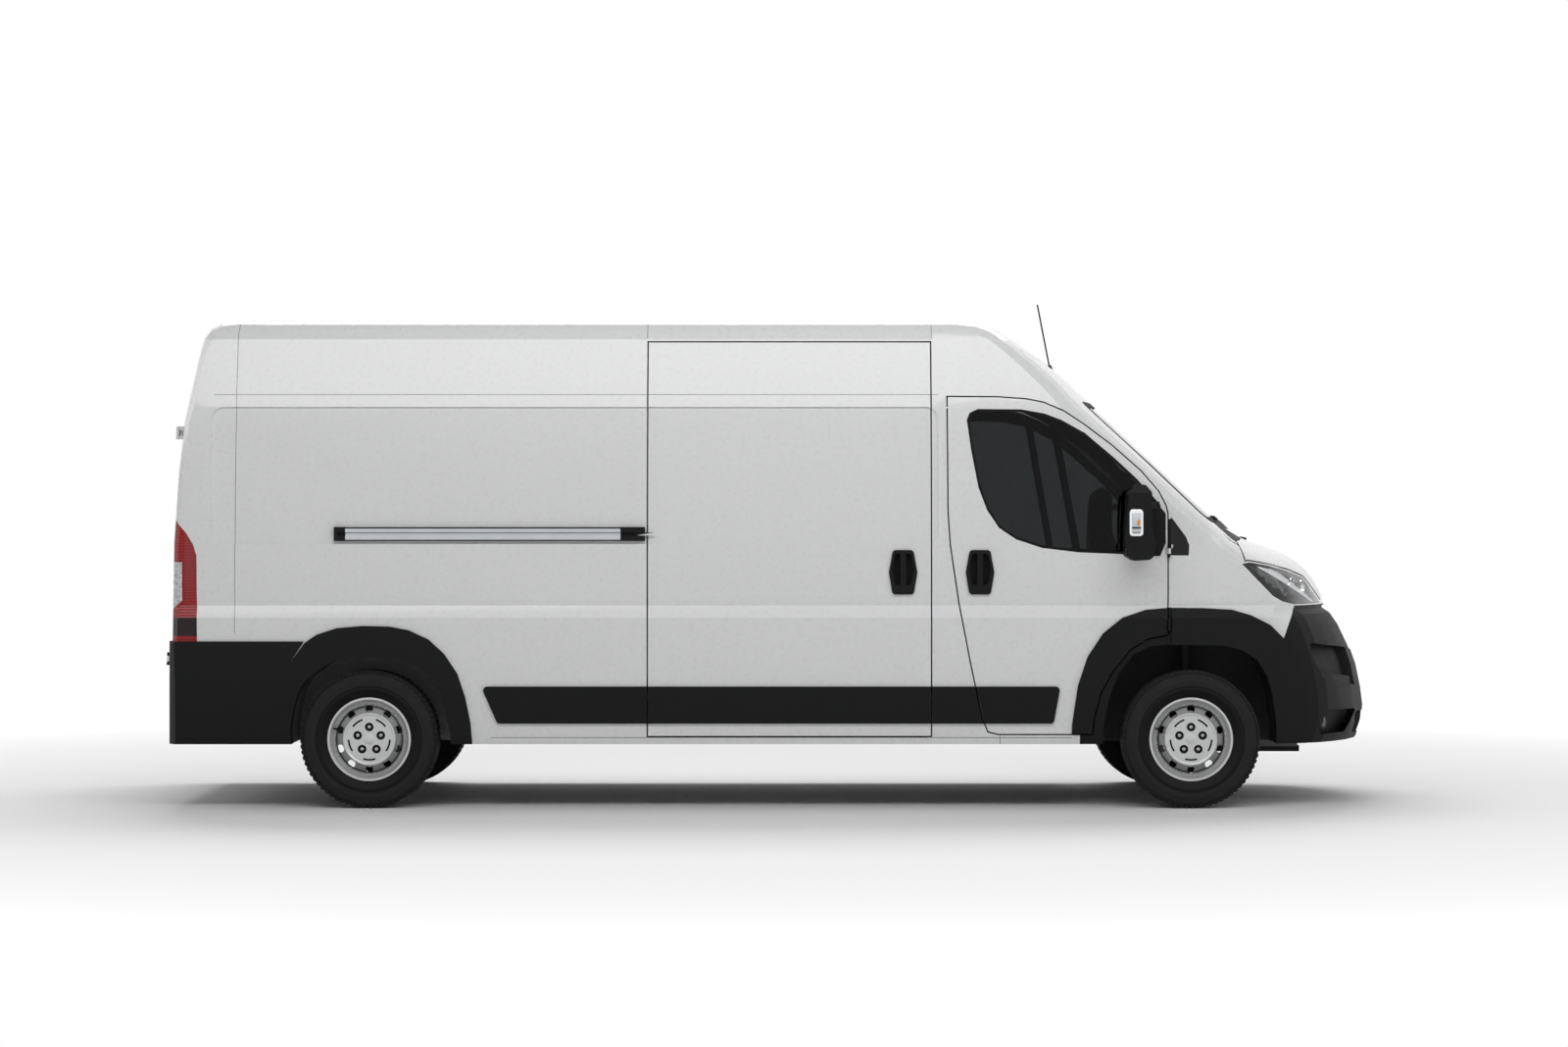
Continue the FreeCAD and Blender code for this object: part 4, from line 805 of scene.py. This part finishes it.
class VanLamps(Step, bpy.types.Operator):
    """Headlamps with their bowls, tail lamps, front fog lamps and mirror indicators"""
    bl_idname = "van.lamps"
    bl_label = "Lamps"

    def make(self):
        for side, way in SIDES:
            skin_panel("tail_lamp_" + side, ["tail_lens"])
            self.headlamp(side, way)
            self.fog_lamp(side, way)
            self.indicator(side, way)

    def headlamp(self, side, way):
        def outward(face):
            return face.normal.y * way > 0.05

        node = "headlamp_" + side
        lens = sheet_from(node, outward)
        thicken(lens, 0.003)
        obj = piece("headlamp_lens_" + side, lens, ["lamp_lens"], "van")
        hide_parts(node)
        bucket = sheet_from(node, lambda f: not outward(f))
        thicken(bucket, 0.002)
        piece("headlamp_bucket_" + side, bucket, ["lamp_black"], "van")
        # The inner bezel: dark behind a bright band that runs down and forward between two planes.
        bezel = sheet_from(node, outward)
        moved_out(bezel, -0.011)
        rear = Vector((2.385, 0, 1.175)), Vector((0.503, 0, 0.865))
        front = Vector((2.453, 0, 1.175)), Vector((0.572, 0, 0.82))
        for at, out in (rear, front):
            cut_at(bezel, at, out)
        gone = [f for f in bezel.faces if self.beyond(f, front)]
        bmesh.ops.delete(bezel, geom=gone, context="FACES")
        for face in bezel.faces:
            face.material_index = int(self.beyond(face, rear))
        thicken(bezel, 0.002)
        piece("headlamp_bezel_" + side, bezel, ["lamp_black", "reflector"], "van")
        tree = tree_of(node)
        parts = self.bowl(tree, way, 0.66, 1.078, 0.04) + self.bowl(tree, way, 0.775, 1.092, 0.036)
        piece("headlamp_bowls_" + side, merged(parts), ["reflector", "lamp_lens"], "van")

    def beyond(self, face, plane):
        return (face.calc_center_median() - plane[0]).dot(plane[1]) > 0

    def bowl(self, tree, way, y, z, radius):
        """A bright bowl with a round lens in it, close behind the clear cover."""
        lean = math.radians(22)
        reach = radius * math.sin(lean)
        outer = hit(tree, (3.2, way * (y + radius), z), (-1, 0, 0)).x + reach
        inner = hit(tree, (3.2, way * (y - radius), z), (-1, 0, 0)).x - reach
        at = facing((min(outer, inner) - 0.01, way * y, z), (math.cos(lean), way * math.sin(lean), 0))
        rows = [(1.0, 0.0), (0.96, 0.0), (0.78, -0.45), (0.35, -0.78), (0.0, -0.82), (0.0, -0.88),
                (0.38, -0.84), (0.82, -0.48), (1.0, -0.06)]
        ball = [(0.0, -0.16), (0.3, -0.2), (0.47, -0.36), (0.5, -0.55), (0.0, -0.6)]
        return [(turned([(r * radius, h * radius) for r, h in rows], at, 40), 0),
                (turned([(r * radius, h * radius) for r, h in ball], at, 32), 1)]

    def fog_lamp(self, side, way):
        at = facing((2.706, way * 0.8225, 0.416), (0.765, way * 0.644, 0))
        ring = [(0.02, 0.0), (0.026, 0.0), (0.029, 0.004), (0.033, 0.004), (0.033, -0.004), (0.02, -0.004)]
        bowl = [(0.0, -0.003), (0.012, -0.002), (0.02, 0.0005), (0.02, -0.004), (0.0, -0.004)]
        dome = [(0.0, 0.006), (0.015, 0.005), (0.026, 0.001), (0.0, 0.001)]
        parts = [(turned(profile, at, 32), finish) for finish, profile in enumerate((ring, bowl, dome))]
        piece("fog_lamp_" + side, merged(parts), ["lamp_black", "cast_metal", "lamp_lens"], "van")

    def indicator(self, side, way):
        at = facing((1.745, way * 1.2465, 1.4), (0, way, 0))
        shell = tile((0.066, 0.129, 0.006), at, 0.016, 0.0015)
        lens = tile((0.044, 0.104, 0.004), at @ move(0, 0, 0.004), 0.01, 0.0012)
        bulb = tile((0.014, 0.03, 0.003), at @ move(-way * 0.01, 0, 0.0062), 0.006, 0.0008)
        piece("mirror_indicator_" + side, merged([(shell, 0), (lens, 1), (bulb, 2)]),
              ["reflector", "rail_aluminium", "amber_lens"], "cab_door_" + side)


class VanMirrors(Step, bpy.types.Operator):
    """Mirror glass in each door mirror"""
    bl_idname = "van.mirrors"
    bl_label = "Mirror glass"

    def make(self):
        for side, way in SIDES:
            place = move(1.7055, way * 1.1575, 1.396) @ turn(3.3, "Y") @ turn(-90, "Y")
            piece("mirror_glass_" + side, tile((0.256, 0.136, 0.003), place, 0.02, 0.0008),
                  ["mirror_glass"], "cab_door_" + side)


class VanWheels(Step, bpy.types.Operator):
    """Tyres with tread, pressed rims, and silver covers with their bolts and valves"""
    bl_idname = "van.wheels"
    bl_label = "Wheels and tyres"

    def make(self):
        for end, x, y in (("front", FRONT_AXLE_X, FRONT_WHEEL_Y), ("rear", REAR_AXLE_X, REAR_WHEEL_Y)):
            for side, way in SIDES:
                spun = turn(180, "Z") if way > 0 else Matrix()
                hub = move(x, way * y, AXLE_Z) @ spun @ turn(90, "X")
                name, body = end + "_" + side, "wheel_" + end + "_" + side
                self.tyre(name, hub, body)
                skin_panel("rim_" + name, ["wheel_silver", "wheel_steel_shaded"], self.rim_finish(hub))
                self.cover(name, hub, body)

    def tyre(self, name, hub, body):
        top, deep = AXLE_Z, AXLE_Z - sizes().tread_depth
        groove = []
        for y in (-0.042, -0.014, 0.014, 0.042):
            groove += [(top, y - 0.0055), (deep, y - 0.004), (deep, y + 0.004), (top, y + 0.0055)]
        wall = [(0.1885, 0.05), (0.1885, 0.064), (0.2065, 0.0735), (0.209, 0.086), (0.222, 0.094),
                (0.24, 0.1015), (0.2445, 0.1035), (0.2475, 0.104), (0.2505, 0.103), (0.26, 0.1035),
                (0.263, 0.106), (0.28, 0.1062), (0.283, 0.107), (0.287, 0.107), (0.29, 0.106),
                (0.306, 0.101), (0.309, 0.1012), (0.312, 0.1), (0.322, 0.0945), (0.331, 0.087),
                (0.336, 0.072)]
        profile = [(r, -h) for r, h in wall] + groove + [(r, h) for r, h in reversed(wall)]
        parts = [(turned(profile, hub, 96), 0)]
        count = sizes().tread_lugs
        for i in range(count):
            for edge in (-1, 1):
                angle = 360.0 / count * (i + 0.25 * edge)
                lug = hub @ turn(angle, "Z") @ move(0.3265, 0, edge * 0.088) @ turn(edge * 32, "Y")
                parts.append((block((0.01, 0.0175, 0.024), lug), 0))
        bm = merged(parts)
        for face in bm.faces:
            off = face.calc_center_median() - hub.translation
            face.material_index = int(math.hypot(off.x, off.z) < 0.2615)
        obj = piece("tyre_tread_" + name, bm, ["tyre_rubber", "bead_rubber"], body, TREAD_SHARP)
        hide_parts("tyre_" + name)

    def rim_finish(self, hub):
        """Painted shade: a darker copy of the wheel steel on the recessed pierced disc, between the bright
        bead ring and the cover.
        """
        axis = hub.to_3x3() @ Vector((0, 0, 1))

        def sort(at, out):
            off = at - hub.translation
            return int(0.12 < math.hypot(off.x, off.z) < 0.17 and out.dot(axis) > 0.5)
        return sort

    def cover(self, name, hub, body):
        """Silver cover over the wheel's middle: five slots, and five bolts in dark cups, which are painted
        shade in the bolt holes.
        """
        radius = sizes().cover_radius
        slot_circle, bolt_circle = 0.101, 0.06
        front, back = 0.077, 0.0728
        fifths = [90 + 72 * i for i in range(5)]
        bolts = arc(bolt_circle, [math.radians(a) for a in fifths])
        holes = [circle(0.0215, 28, x, y) for x, y in bolts]
        slots = [arc_slot(slot_circle, 0.009, a + 36, 17) for a in fifths]
        ring = [(radius - 0.002, 0.0735), (radius - 0.002, 0.0765), (radius + 0.003, 0.0795),
                (radius + 0.009, 0.0795), (radius + 0.0125, 0.0765), (radius + 0.0125, 0.07)]
        cap = [(0.0, 0.079), (0.02, 0.0788), (0.0255, front), (0.0255, 0.075), (0.0, 0.075)]
        cup = [(0.0135, back), (0.0135, 0.0745), (0.0185, 0.0765), (0.02, 0.0765), (0.02, back)]
        head = [(0.0, 0.0815), (0.005, 0.0808), (0.0085, 0.0775), (0.0092, back), (0.0, back)]
        # The dark plate behind the cover is painted shade seen through its slots and holes; the dark cups
        # round the bolts are painted shade too.
        parts = [(plate([circle(radius, 96)] + holes + slots, 0.003, hub @ move(0, 0, front)), 0),
                 (turned(ring, hub, 96), 0), (turned(cap, hub, 48), 0),
                 (plate([circle(radius - 0.003, 72), circle(0.03, 32)], 0.0025, hub @ move(0, 0, back)), 1)]
        for x, y in bolts:
            seat = hub @ move(x, y, 0)
            parts += [(turned(cup, seat, 24), 1), (turned(head, seat, 20), 2)]
        for a in fifths:
            rib = hub @ turn(a, "Z") @ move(slot_circle, 0, 0.0776)
            parts.append((block((0.016, 0.003, 0.0014), rib, 0.0005, 1), 0))
        # Two thin dark rings laid on the rim's steel: painted shade along its pressed steps.
        rim = tree_of("rim_" + name)
        for r in (0.159, 0.187):
            well = hub.inverted() @ hit(rim, hub @ Vector((r, 0, 0.3)), hub.to_3x3() @ Vector((0, 0, -1)))
            high, low = well.z + 0.0012, well.z - 0.002
            line = [(r, high), (r + 0.0045, high), (r + 0.0045, low), (r, low)]
            parts.append((turned(line, hub, 96), 1))
        stem = hub @ turn(163, "Z") @ facing((0.166, 0, 0.058), (0.5, 0, 0.86))
        valve = [(0.0, 0.03), (0.0035, 0.03), (0.004, 0.018), (0.006, 0.0), (0.0, 0.0)]
        parts.append((turned(valve, stem, 14), 1))
        piece("wheel_cover_" + name, merged(parts), ["wheel_silver", "seal_rubber", "bolt_steel"],
              body)


class VanGrilles(Step, bpy.types.Operator):
    """Fine mesh behind the grille bars and the lower intake, and the bonnet's washer jets"""
    bl_idname = "van.grilles"
    bl_label = "Grilles"

    def make(self):
        self.wires("upper", 0.43, 0.765, 0.978, 14, 0.05)
        self.wires("lower", 0.505, 0.35, 0.45, 7, 0.012)
        bonnet = tree_of("bonnet")
        for side, way in SIDES:
            at = hit(bonnet, (2.372, way * 0.3, 2.0), (0, 0, -1))
            bm = block((0.036, 0.02, 0.012), move(at.x, at.y, at.z + 0.003) @ turn(12, "Y"), 0.004)
            piece("washer_jet_" + side, bm, ["black_plastic"], "hood")

    def wires(self, name, wide, low, high, rows, back):
        """A wire mesh bent to the nose, at a distance behind it."""
        bm = bmesh.new()
        half = (high - low) / 2
        at = move(0, 0, low + half) @ turn(90, "Z") @ turn(90, "X") @ Matrix.Diagonal((wide, half, 1, 1))
        columns = round(rows * wide / half)
        bmesh.ops.create_grid(bm, x_segments=columns, y_segments=rows, size=1.0, matrix=at)
        for vert in bm.verts:
            vert.co.x = nose_at(vert.co.y, vert.co.z) - back
        bmesh.ops.wireframe(bm, faces=bm.faces[:], thickness=0.004, use_replace=True, use_boundary=True,
                            use_even_offset=True)
        bmesh.ops.recalc_face_normals(bm, faces=bm.faces)
        piece("grille_mesh_" + name, bm, ["seal_rubber"], "van")


# The cab. Padded pieces are swollen by a cloth simulation, and then get their sewn channels.

def applied(obj):
    """An object's mesh with its modifiers applied; they are then cleared."""
    mesh = bpy.data.meshes.new_from_object(obj.evaluated_get(bpy.context.evaluated_depsgraph_get()))
    obj.modifiers.clear()
    return mesh


def remeshed(bm, size):
    """An evenly divided copy of a closed mesh, as a new object."""
    mesh = mesh_from("pad", bm)
    obj = in_scene("pad", mesh)
    mod = obj.modifiers.new("Even", "REMESH")
    mod.mode = "VOXEL"
    mod.voxel_size = size
    obj.data = applied(obj)
    bpy.data.meshes.remove(mesh)
    return obj


def inflate(obj, held):
    """Swells a pad with cloth under pressure; the faces that it rests on are held."""
    scene = bpy.context.scene
    start = [v.co.copy() for v in obj.data.vertices]
    group = obj.vertex_groups.new(name="held")
    group.add([v.index for v in obj.data.vertices if held(v.co)], 1.0, "REPLACE")
    cloth = obj.modifiers.new("Cloth", "CLOTH")
    cloth.settings.vertex_group_mass = "held"
    cloth.settings.use_pressure = True
    cloth.settings.uniform_pressure_force = 4.0
    cloth.settings.effector_weights.gravity = 0.0
    cloth.settings.quality = 4
    cloth.point_cache.frame_start, cloth.point_cache.frame_end = 1, SWELL_FRAMES
    for number in range(1, SWELL_FRAMES + 1):
        scene.frame_set(number)
    swollen = applied(obj)
    scene.frame_set(1)
    for vert, before, after in zip(obj.data.vertices, start, swollen.vertices):
        way = after.co - before
        vert.co = before + way * min(1.0, sizes().seat_swell / max(way.length, 1e-9))
    bpy.data.meshes.remove(swollen)


def pad(name, size, matrix, round_by, seams):
    """A padded piece: its own Z axis points out of the side that is sat on or leant on.

    Each seam is an axis, a place along it, a depth and a half width.
    """
    core = tuple(s - sizes().seat_swell * 0.9 for s in size)
    obj = remeshed(block(core, Matrix(), round_by, 4), 0.013)
    inflate(obj, lambda at: at.z < -core[2] / 2 + 0.012)
    bm, mesh = bmesh.new(), obj.data
    bm.from_mesh(mesh)
    bm.normal_update()
    bpy.data.objects.remove(obj)
    bpy.data.meshes.remove(mesh)
    for vert in bm.verts:
        if vert.normal.z < -0.5:
            continue
        for axis, place, depth, width in seams:
            off = (vert.co[axis] - place) / width
            vert.co -= vert.normal * depth * math.exp(-off * off)
    done = piece(name, placed(bm, matrix), ["seat_fabric"], "van", PAD_SHARP)
    mod = done.modifiers.new("Even", "SUBSURF")
    mod.levels = mod.render_levels = 1


class VanSeats(Step, bpy.types.Operator):
    """Driver's seat and two-place passenger bench, with their plinths and headrest posts"""
    bl_idname = "van.seats"
    bl_label = "Seats"

    def make(self):
        self.seat("driver_seat", "driver", 0.19, 0.69, 1)
        self.seat("passenger_seat", "bench", -0.86, -0.06, 2)

    def seat(self, node, name, low, high, places):
        middle, wide = (low + high) / 2, high - low
        base = [(block((0.39, wide - 0.08, 0.215), move(1.222, middle, 0.5475), 0.012), 0),
                (block((0.46, wide - 0.05, 0.02), move(1.23, middle, 0.655), 0.008), 0),
                (block((0.06, wide - 0.1, 0.16), move(0.985, middle, 0.735) @ turn(-10, "Y"), 0.015), 0)]
        place = wide / places
        width = place - 0.006
        channels = [(1, -width * 0.3, 0.01, 0.01), (1, width * 0.3, 0.01, 0.01)]
        for i in range(places):
            y = low + place * (i + 0.5)
            end = name if places == 1 else name + "_" + str(i + 1)
            pad("seat_cushion_" + end, (0.51, width, 0.105), move(1.232, y, 0.716) @ turn(-3, "Y"),
                0.032, channels + [(0, 0.12, 0.008, 0.01)])
            pad("seat_back_" + end, (0.56, width, 0.1), move(0.958, y, 1.045) @ turn(79.2, "Y"),
                0.032, channels + [(0, 0.1, 0.008, 0.01), (0, -0.14, 0.008, 0.01)])
            pad("headrest_" + end, (0.175, 0.25, 0.075), move(0.886, y, 1.442) @ turn(83, "Y"),
                0.028, [(0, 0.0, 0.004, 0.012)])
            for side in (-0.055, 0.055):
                post = facing((0.905, y + side, 1.28), (-0.1, 0, 1))
                base.append((turned([(0, 0), (0.006, 0), (0.006, 0.12), (0, 0.12)], post, 14), 1))
        obj = piece("seat_base_" + name, merged(base), ["cabin_plastic", "bolt_steel"], "van")
        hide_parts(node)


class VanCabin(Step, bpy.types.Operator):
    """Dashboard with its dials, screen, vents and lever, steering wheel and door armrests"""
    bl_idname = "van.cabin"
    bl_label = "Cabin"
    DASH_WAY = (-0.97, 0, 0.24)

    def make(self):
        dress("dashboard", "cabin_plastic")
        dress("steering_wheel", "cabin_plastic")
        parts = self.dials() + self.screen()
        for y in (-0.8, -0.19, 0.19, 0.8):
            parts += self.vent(y)
        parts += self.controls()
        piece("dashboard_fittings", merged(parts), ["cabin_plastic", "gloss_black", "bolt_steel"],
              "van")
        for side, way in SIDES:
            cup = [(0.0, 0.004), (0.07, 0.004), (0.078, 0.0), (0.078, -0.006), (0.0, -0.006)]
            arm = [(block((0.5, 0.052, 0.055), move(1.36, way * 0.914, 0.965), 0.018), 0),
                   (block((0.56, 0.016, 0.3), move(1.36, way * 0.934, 0.74), 0.007), 0),
                   (turned(cup, facing((1.58, way * 0.924, 0.7), (0, -way, 0)), 36), 1)]
            piece("door_armrest_" + side, merged(arm), ["cabin_plastic", "seal_rubber"],
                  "cab_door_" + side)

    def dials(self):
        """The hood over the steering wheel's column, and two dials set in its cut face."""
        sight = (-0.94, 0, 0.34)
        hood, egg = bmesh.new(), Matrix.Diagonal((0.12, 0.19, 0.105, 1))
        bmesh.ops.create_uvsphere(hood, u_segments=40, v_segments=20, radius=1.0,
                                  matrix=move(1.93, 0.42, 1.165) @ egg)
        for at, out in (((1.865, 0, 0), sight), ((0, 0, 1.15), (0, 0, -1))):
            edge = cut_at(hood, at, out, True)
            bmesh.ops.holes_fill(hood, edges=[g for g in edge if isinstance(g, bmesh.types.BMEdge)])
        parts = [(hood, 0)]
        glass = [(0, 0.001), (0.043, 0.001), (0.043, 0.004), (0.047, 0.004), (0.047, -0.002), (0, -0.002)]
        ring = [(0.043, 0.0045), (0.0455, 0.0055), (0.048, 0.0045), (0.048, -0.001), (0.043, -0.001)]
        for y in (0.355, 0.485):
            dial = facing((1.866, y, 1.205), sight)
            parts += [(turned(glass, dial, 40), 1), (turned(ring, dial, 40), 2),
                      (block((0.004, 0.036, 0.0012), dial @ turn(-40, "Z") @ move(0, 0.016, 0.003)), 2)]
        return parts

    def screen(self):
        at = facing((1.856, 0.0, 1.125), self.DASH_WAY)
        return [(tile((0.15, 0.25, 0.014), at, 0.014, 0.003), 0),
                (tile((0.122, 0.205, 0.003), at @ move(0, 0, 0.0075), 0.008, 0.001), 1)]

    def vent(self, y):
        """A round vent with a dark floor and five slats."""
        at, gap = facing((1.85, y, 1.085), self.DASH_WAY), 0.013
        ring = [(0.038, 0.0), (0.04, 0.008), (0.047, 0.008), (0.05, 0.0), (0.05, -0.01), (0.038, -0.01)]
        floor = [(0, 0.001), (0.038, 0.001), (0.038, -0.008), (0, -0.008)]
        parts = [(turned(ring, at, 36), 2), (turned(floor, at, 36), 1)]
        for i in (-2, -1, 0, 1, 2):
            long = 2 * math.sqrt(0.036 ** 2 - (gap * i) ** 2)
            parts.append((block((0.002, long, 0.008), at @ move(gap * i, 0, 0.003)), 0))
        return parts

    def controls(self):
        """Three knobs and the gear lever with its gaiter."""
        knob = [(0, 0.024), (0.017, 0.024), (0.019, 0.02), (0.021, 0.0), (0, 0.0)]
        gaiter = [(0, 0), (0.045, 0), (0.03, 0.03), (0.009, 0.045), (0.008, 0.115), (0, 0.115)]
        grip = [(0, 0.16), (0.018, 0.156), (0.025, 0.14), (0.02, 0.118), (0.008, 0.11), (0, 0.11)]
        lever = facing((1.862, 0.165, 0.985), (-0.85, 0, 0.52))
        parts = [(turned(knob, facing((1.875, y, 0.965), (-0.86, 0, -0.5)), 28), 0)
                 for y in (-0.075, 0.0, 0.075)]
        return parts + [(turned(gaiter, lever, 24), 1), (turned(grip, lever, 24), 0)]


class VanRunningGear(Step, bpy.types.Operator):
    """Underframe, suspension, exhaust and the other plain metal parts"""
    bl_idname = "van.running_gear"
    bl_label = "Running gear"

    def make(self):
        for finish, nodes in (
                ("underbody_black", ("front_subframe", "rear_axle", "knuckle_right", "knuckle_left",
                                     "underframe", "front_house_right", "front_house_left", "fuel_tank")),
                ("floor_paint", ("floor", "bulkhead", "rear_house_right", "rear_house_left")),
                ("cast_metal", ("exhaust", "engine_block")),
                ("seal_rubber", ("aerial",))):
            for node in nodes:
                dress(node, finish)
        centre = Vector((SPARE_X, 0, 0))
        skin_panel("spare_wheel", ["tyre_rubber", "wheel_silver"],
                   lambda at, _: int((at - centre).to_2d().length < SPARE_RIM))


def mix_shaders(tree, fac, first, second, end):
    """Sends the first shader to an end where the factor is 0, and the second where it is 1."""
    mix = tree.nodes.new("ShaderNodeMixShader")
    for out, socket in ((fac, mix.inputs["Fac"]), (first, mix.inputs[1]), (second, mix.inputs[2]),
                        (mix.outputs[0], end)):
        tree.links.new(out, socket)


class VanStage(Step, bpy.types.Operator):
    """Pale floor, soft light and the camera"""
    bl_idname = "van.stage"
    bl_label = "Stage"

    def make(self):
        scene = bpy.context.scene
        scene.view_settings.view_transform = "Standard"
        self.world(scene)
        self.floor()
        # Name, place, aim, size and power in watts.
        for row in (("key_light", (0.5, -6.0, 5.4), (0, -0.9, 2.6), (10.0, 2.0), 220),
                    ("top_light", (0.0, 5.0, 9.0), (0, 0.0, 0.5), (10.0, 4.0), 600),
                    ("tail_fill", (-9.0, 1.5, 5.0), (-2, 0, 1.2), (5.0, 4.0), 90),
                    ("nose_fill", (9.5, -1.5, 5.0), (2, 0, 1.2), (5.0, 4.0), 90)):
            self.lamp(*row)
        camera = bpy.data.cameras.new("camera")
        camera.sensor_width = 36.0
        camera.lens = 89.66
        camera.clip_end = 500.0
        scene.camera = in_scene("camera", camera)
        scene.camera.matrix_world = move(0.039, -20.15, 1.397) @ turn(90, "X")

    def seen(self, tree):
        """1 for what the camera, a mirror or a clear pane shows, 0 for plain lighting."""
        path = tree.nodes.new("ShaderNodeLightPath")
        out = path.outputs["Is Camera Ray"]
        for name in ("Is Glossy Ray", "Is Transmission Ray"):
            either = tree.nodes.new("ShaderNodeMath")
            either.operation = "MAXIMUM"
            tree.links.new(out, either.inputs[0])
            tree.links.new(path.outputs[name], either.inputs[1])
            out = either.outputs[0]
        return out

    def world(self, scene):
        world = bpy.data.worlds.new("studio")
        scene.world = world
        world.use_nodes = True
        tree = world.node_tree
        light, white = tree.nodes["Background"], tree.nodes.new("ShaderNodeBackground")
        for node, strength in ((light, 0.2), (white, 1.0)):
            node.inputs["Color"].default_value = (1, 1, 1, 1)
            node.inputs["Strength"].default_value = strength
        mix_shaders(tree, self.seen(tree), light.outputs[0], white.outputs[0],
                    tree.nodes["World Output"].inputs["Surface"])

    def floor(self):
        """A pale floor that keeps the van's shadow and fades to white far from it."""
        f = Finish("studio_floor")
        f.colour(f.blend(f.noise(0.2), (0.9, 0.9, 0.9), (0.92, 0.92, 0.92)))
        f.rough(f.noise(0.5), 0.75, 0.8)
        x, y, _ = f.axes()
        middle_y, stretch, fade_from, fade_to = 0.5, 1.1, 3.2, 6.5
        across = f.maths("POWER", f.maths("DIVIDE", f.maths("SUBTRACT", y, middle_y), stretch), 2.0)
        along = f.maths("POWER", f.maths("DIVIDE", x, stretch), 2.0)
        away = f.maths("SQRT", f.maths("ADD", along, across))
        glow = f.add("ShaderNodeEmission")
        glow.inputs["Color"].default_value = (1, 1, 1, 1)
        mix_shaders(f.tree, f.times(f.between(away, fade_from, fade_to), self.seen(f.tree)),
                    f.shader.outputs["BSDF"], glow.outputs["Emission"],
                    f.tree.nodes["Material Output"].inputs["Surface"])
        bm = bmesh.new()
        bmesh.ops.create_grid(bm, x_segments=1, y_segments=1, size=220.0)
        obj = in_scene("studio_floor", mesh_from("studio_floor", bm))
        obj.data.materials.append(f.mat)

    def lamp(self, name, place, aim, size, power):
        light = bpy.data.lights.new(name, "AREA")
        light.shape = "RECTANGLE"
        light.size, light.size_y = size
        light.energy = power
        way = Vector(aim) - Vector(place)
        turning = way.to_track_quat("-Z", "Y").to_matrix().to_4x4()
        in_scene(name, light).matrix_world = move(*place) @ turning


class VanPanel(bpy.types.Panel):
    bl_idname = "VIEW3D_PT_van"
    bl_label = "Panel van"
    bl_space_type = "VIEW_3D"
    bl_region_type = "UI"
    bl_category = "Van"

    def draw(self, context):
        for group in (context.scene.van_colours, context.scene.van_sizes):
            for name in group.__annotations__:
                self.layout.prop(group, name)
        for step in STEPS:
            self.layout.operator(step.bl_idname)


STEPS = (VanStage, VanPanels, VanGlass, VanLamps, VanMirrors, VanWheels, VanGrilles, VanSeats, VanCabin,
         VanRunningGear)
CLASSES = (VanColours, VanSizes, VanPanel) + STEPS


def register():
    for cls in CLASSES:
        bpy.utils.register_class(cls)
    bpy.types.Scene.van_colours = bpy.props.PointerProperty(type=VanColours)
    bpy.types.Scene.van_sizes = bpy.props.PointerProperty(type=VanSizes)


def unregister():
    del bpy.types.Scene.van_colours
    del bpy.types.Scene.van_sizes
    for cls in reversed(CLASSES):
        bpy.utils.unregister_class(cls)


def main():
    register()
    make_finishes()
    for step in STEPS:
        getattr(bpy.ops.van, step.bl_idname.split(".")[1])()


if __name__ == "__main__":
    main()
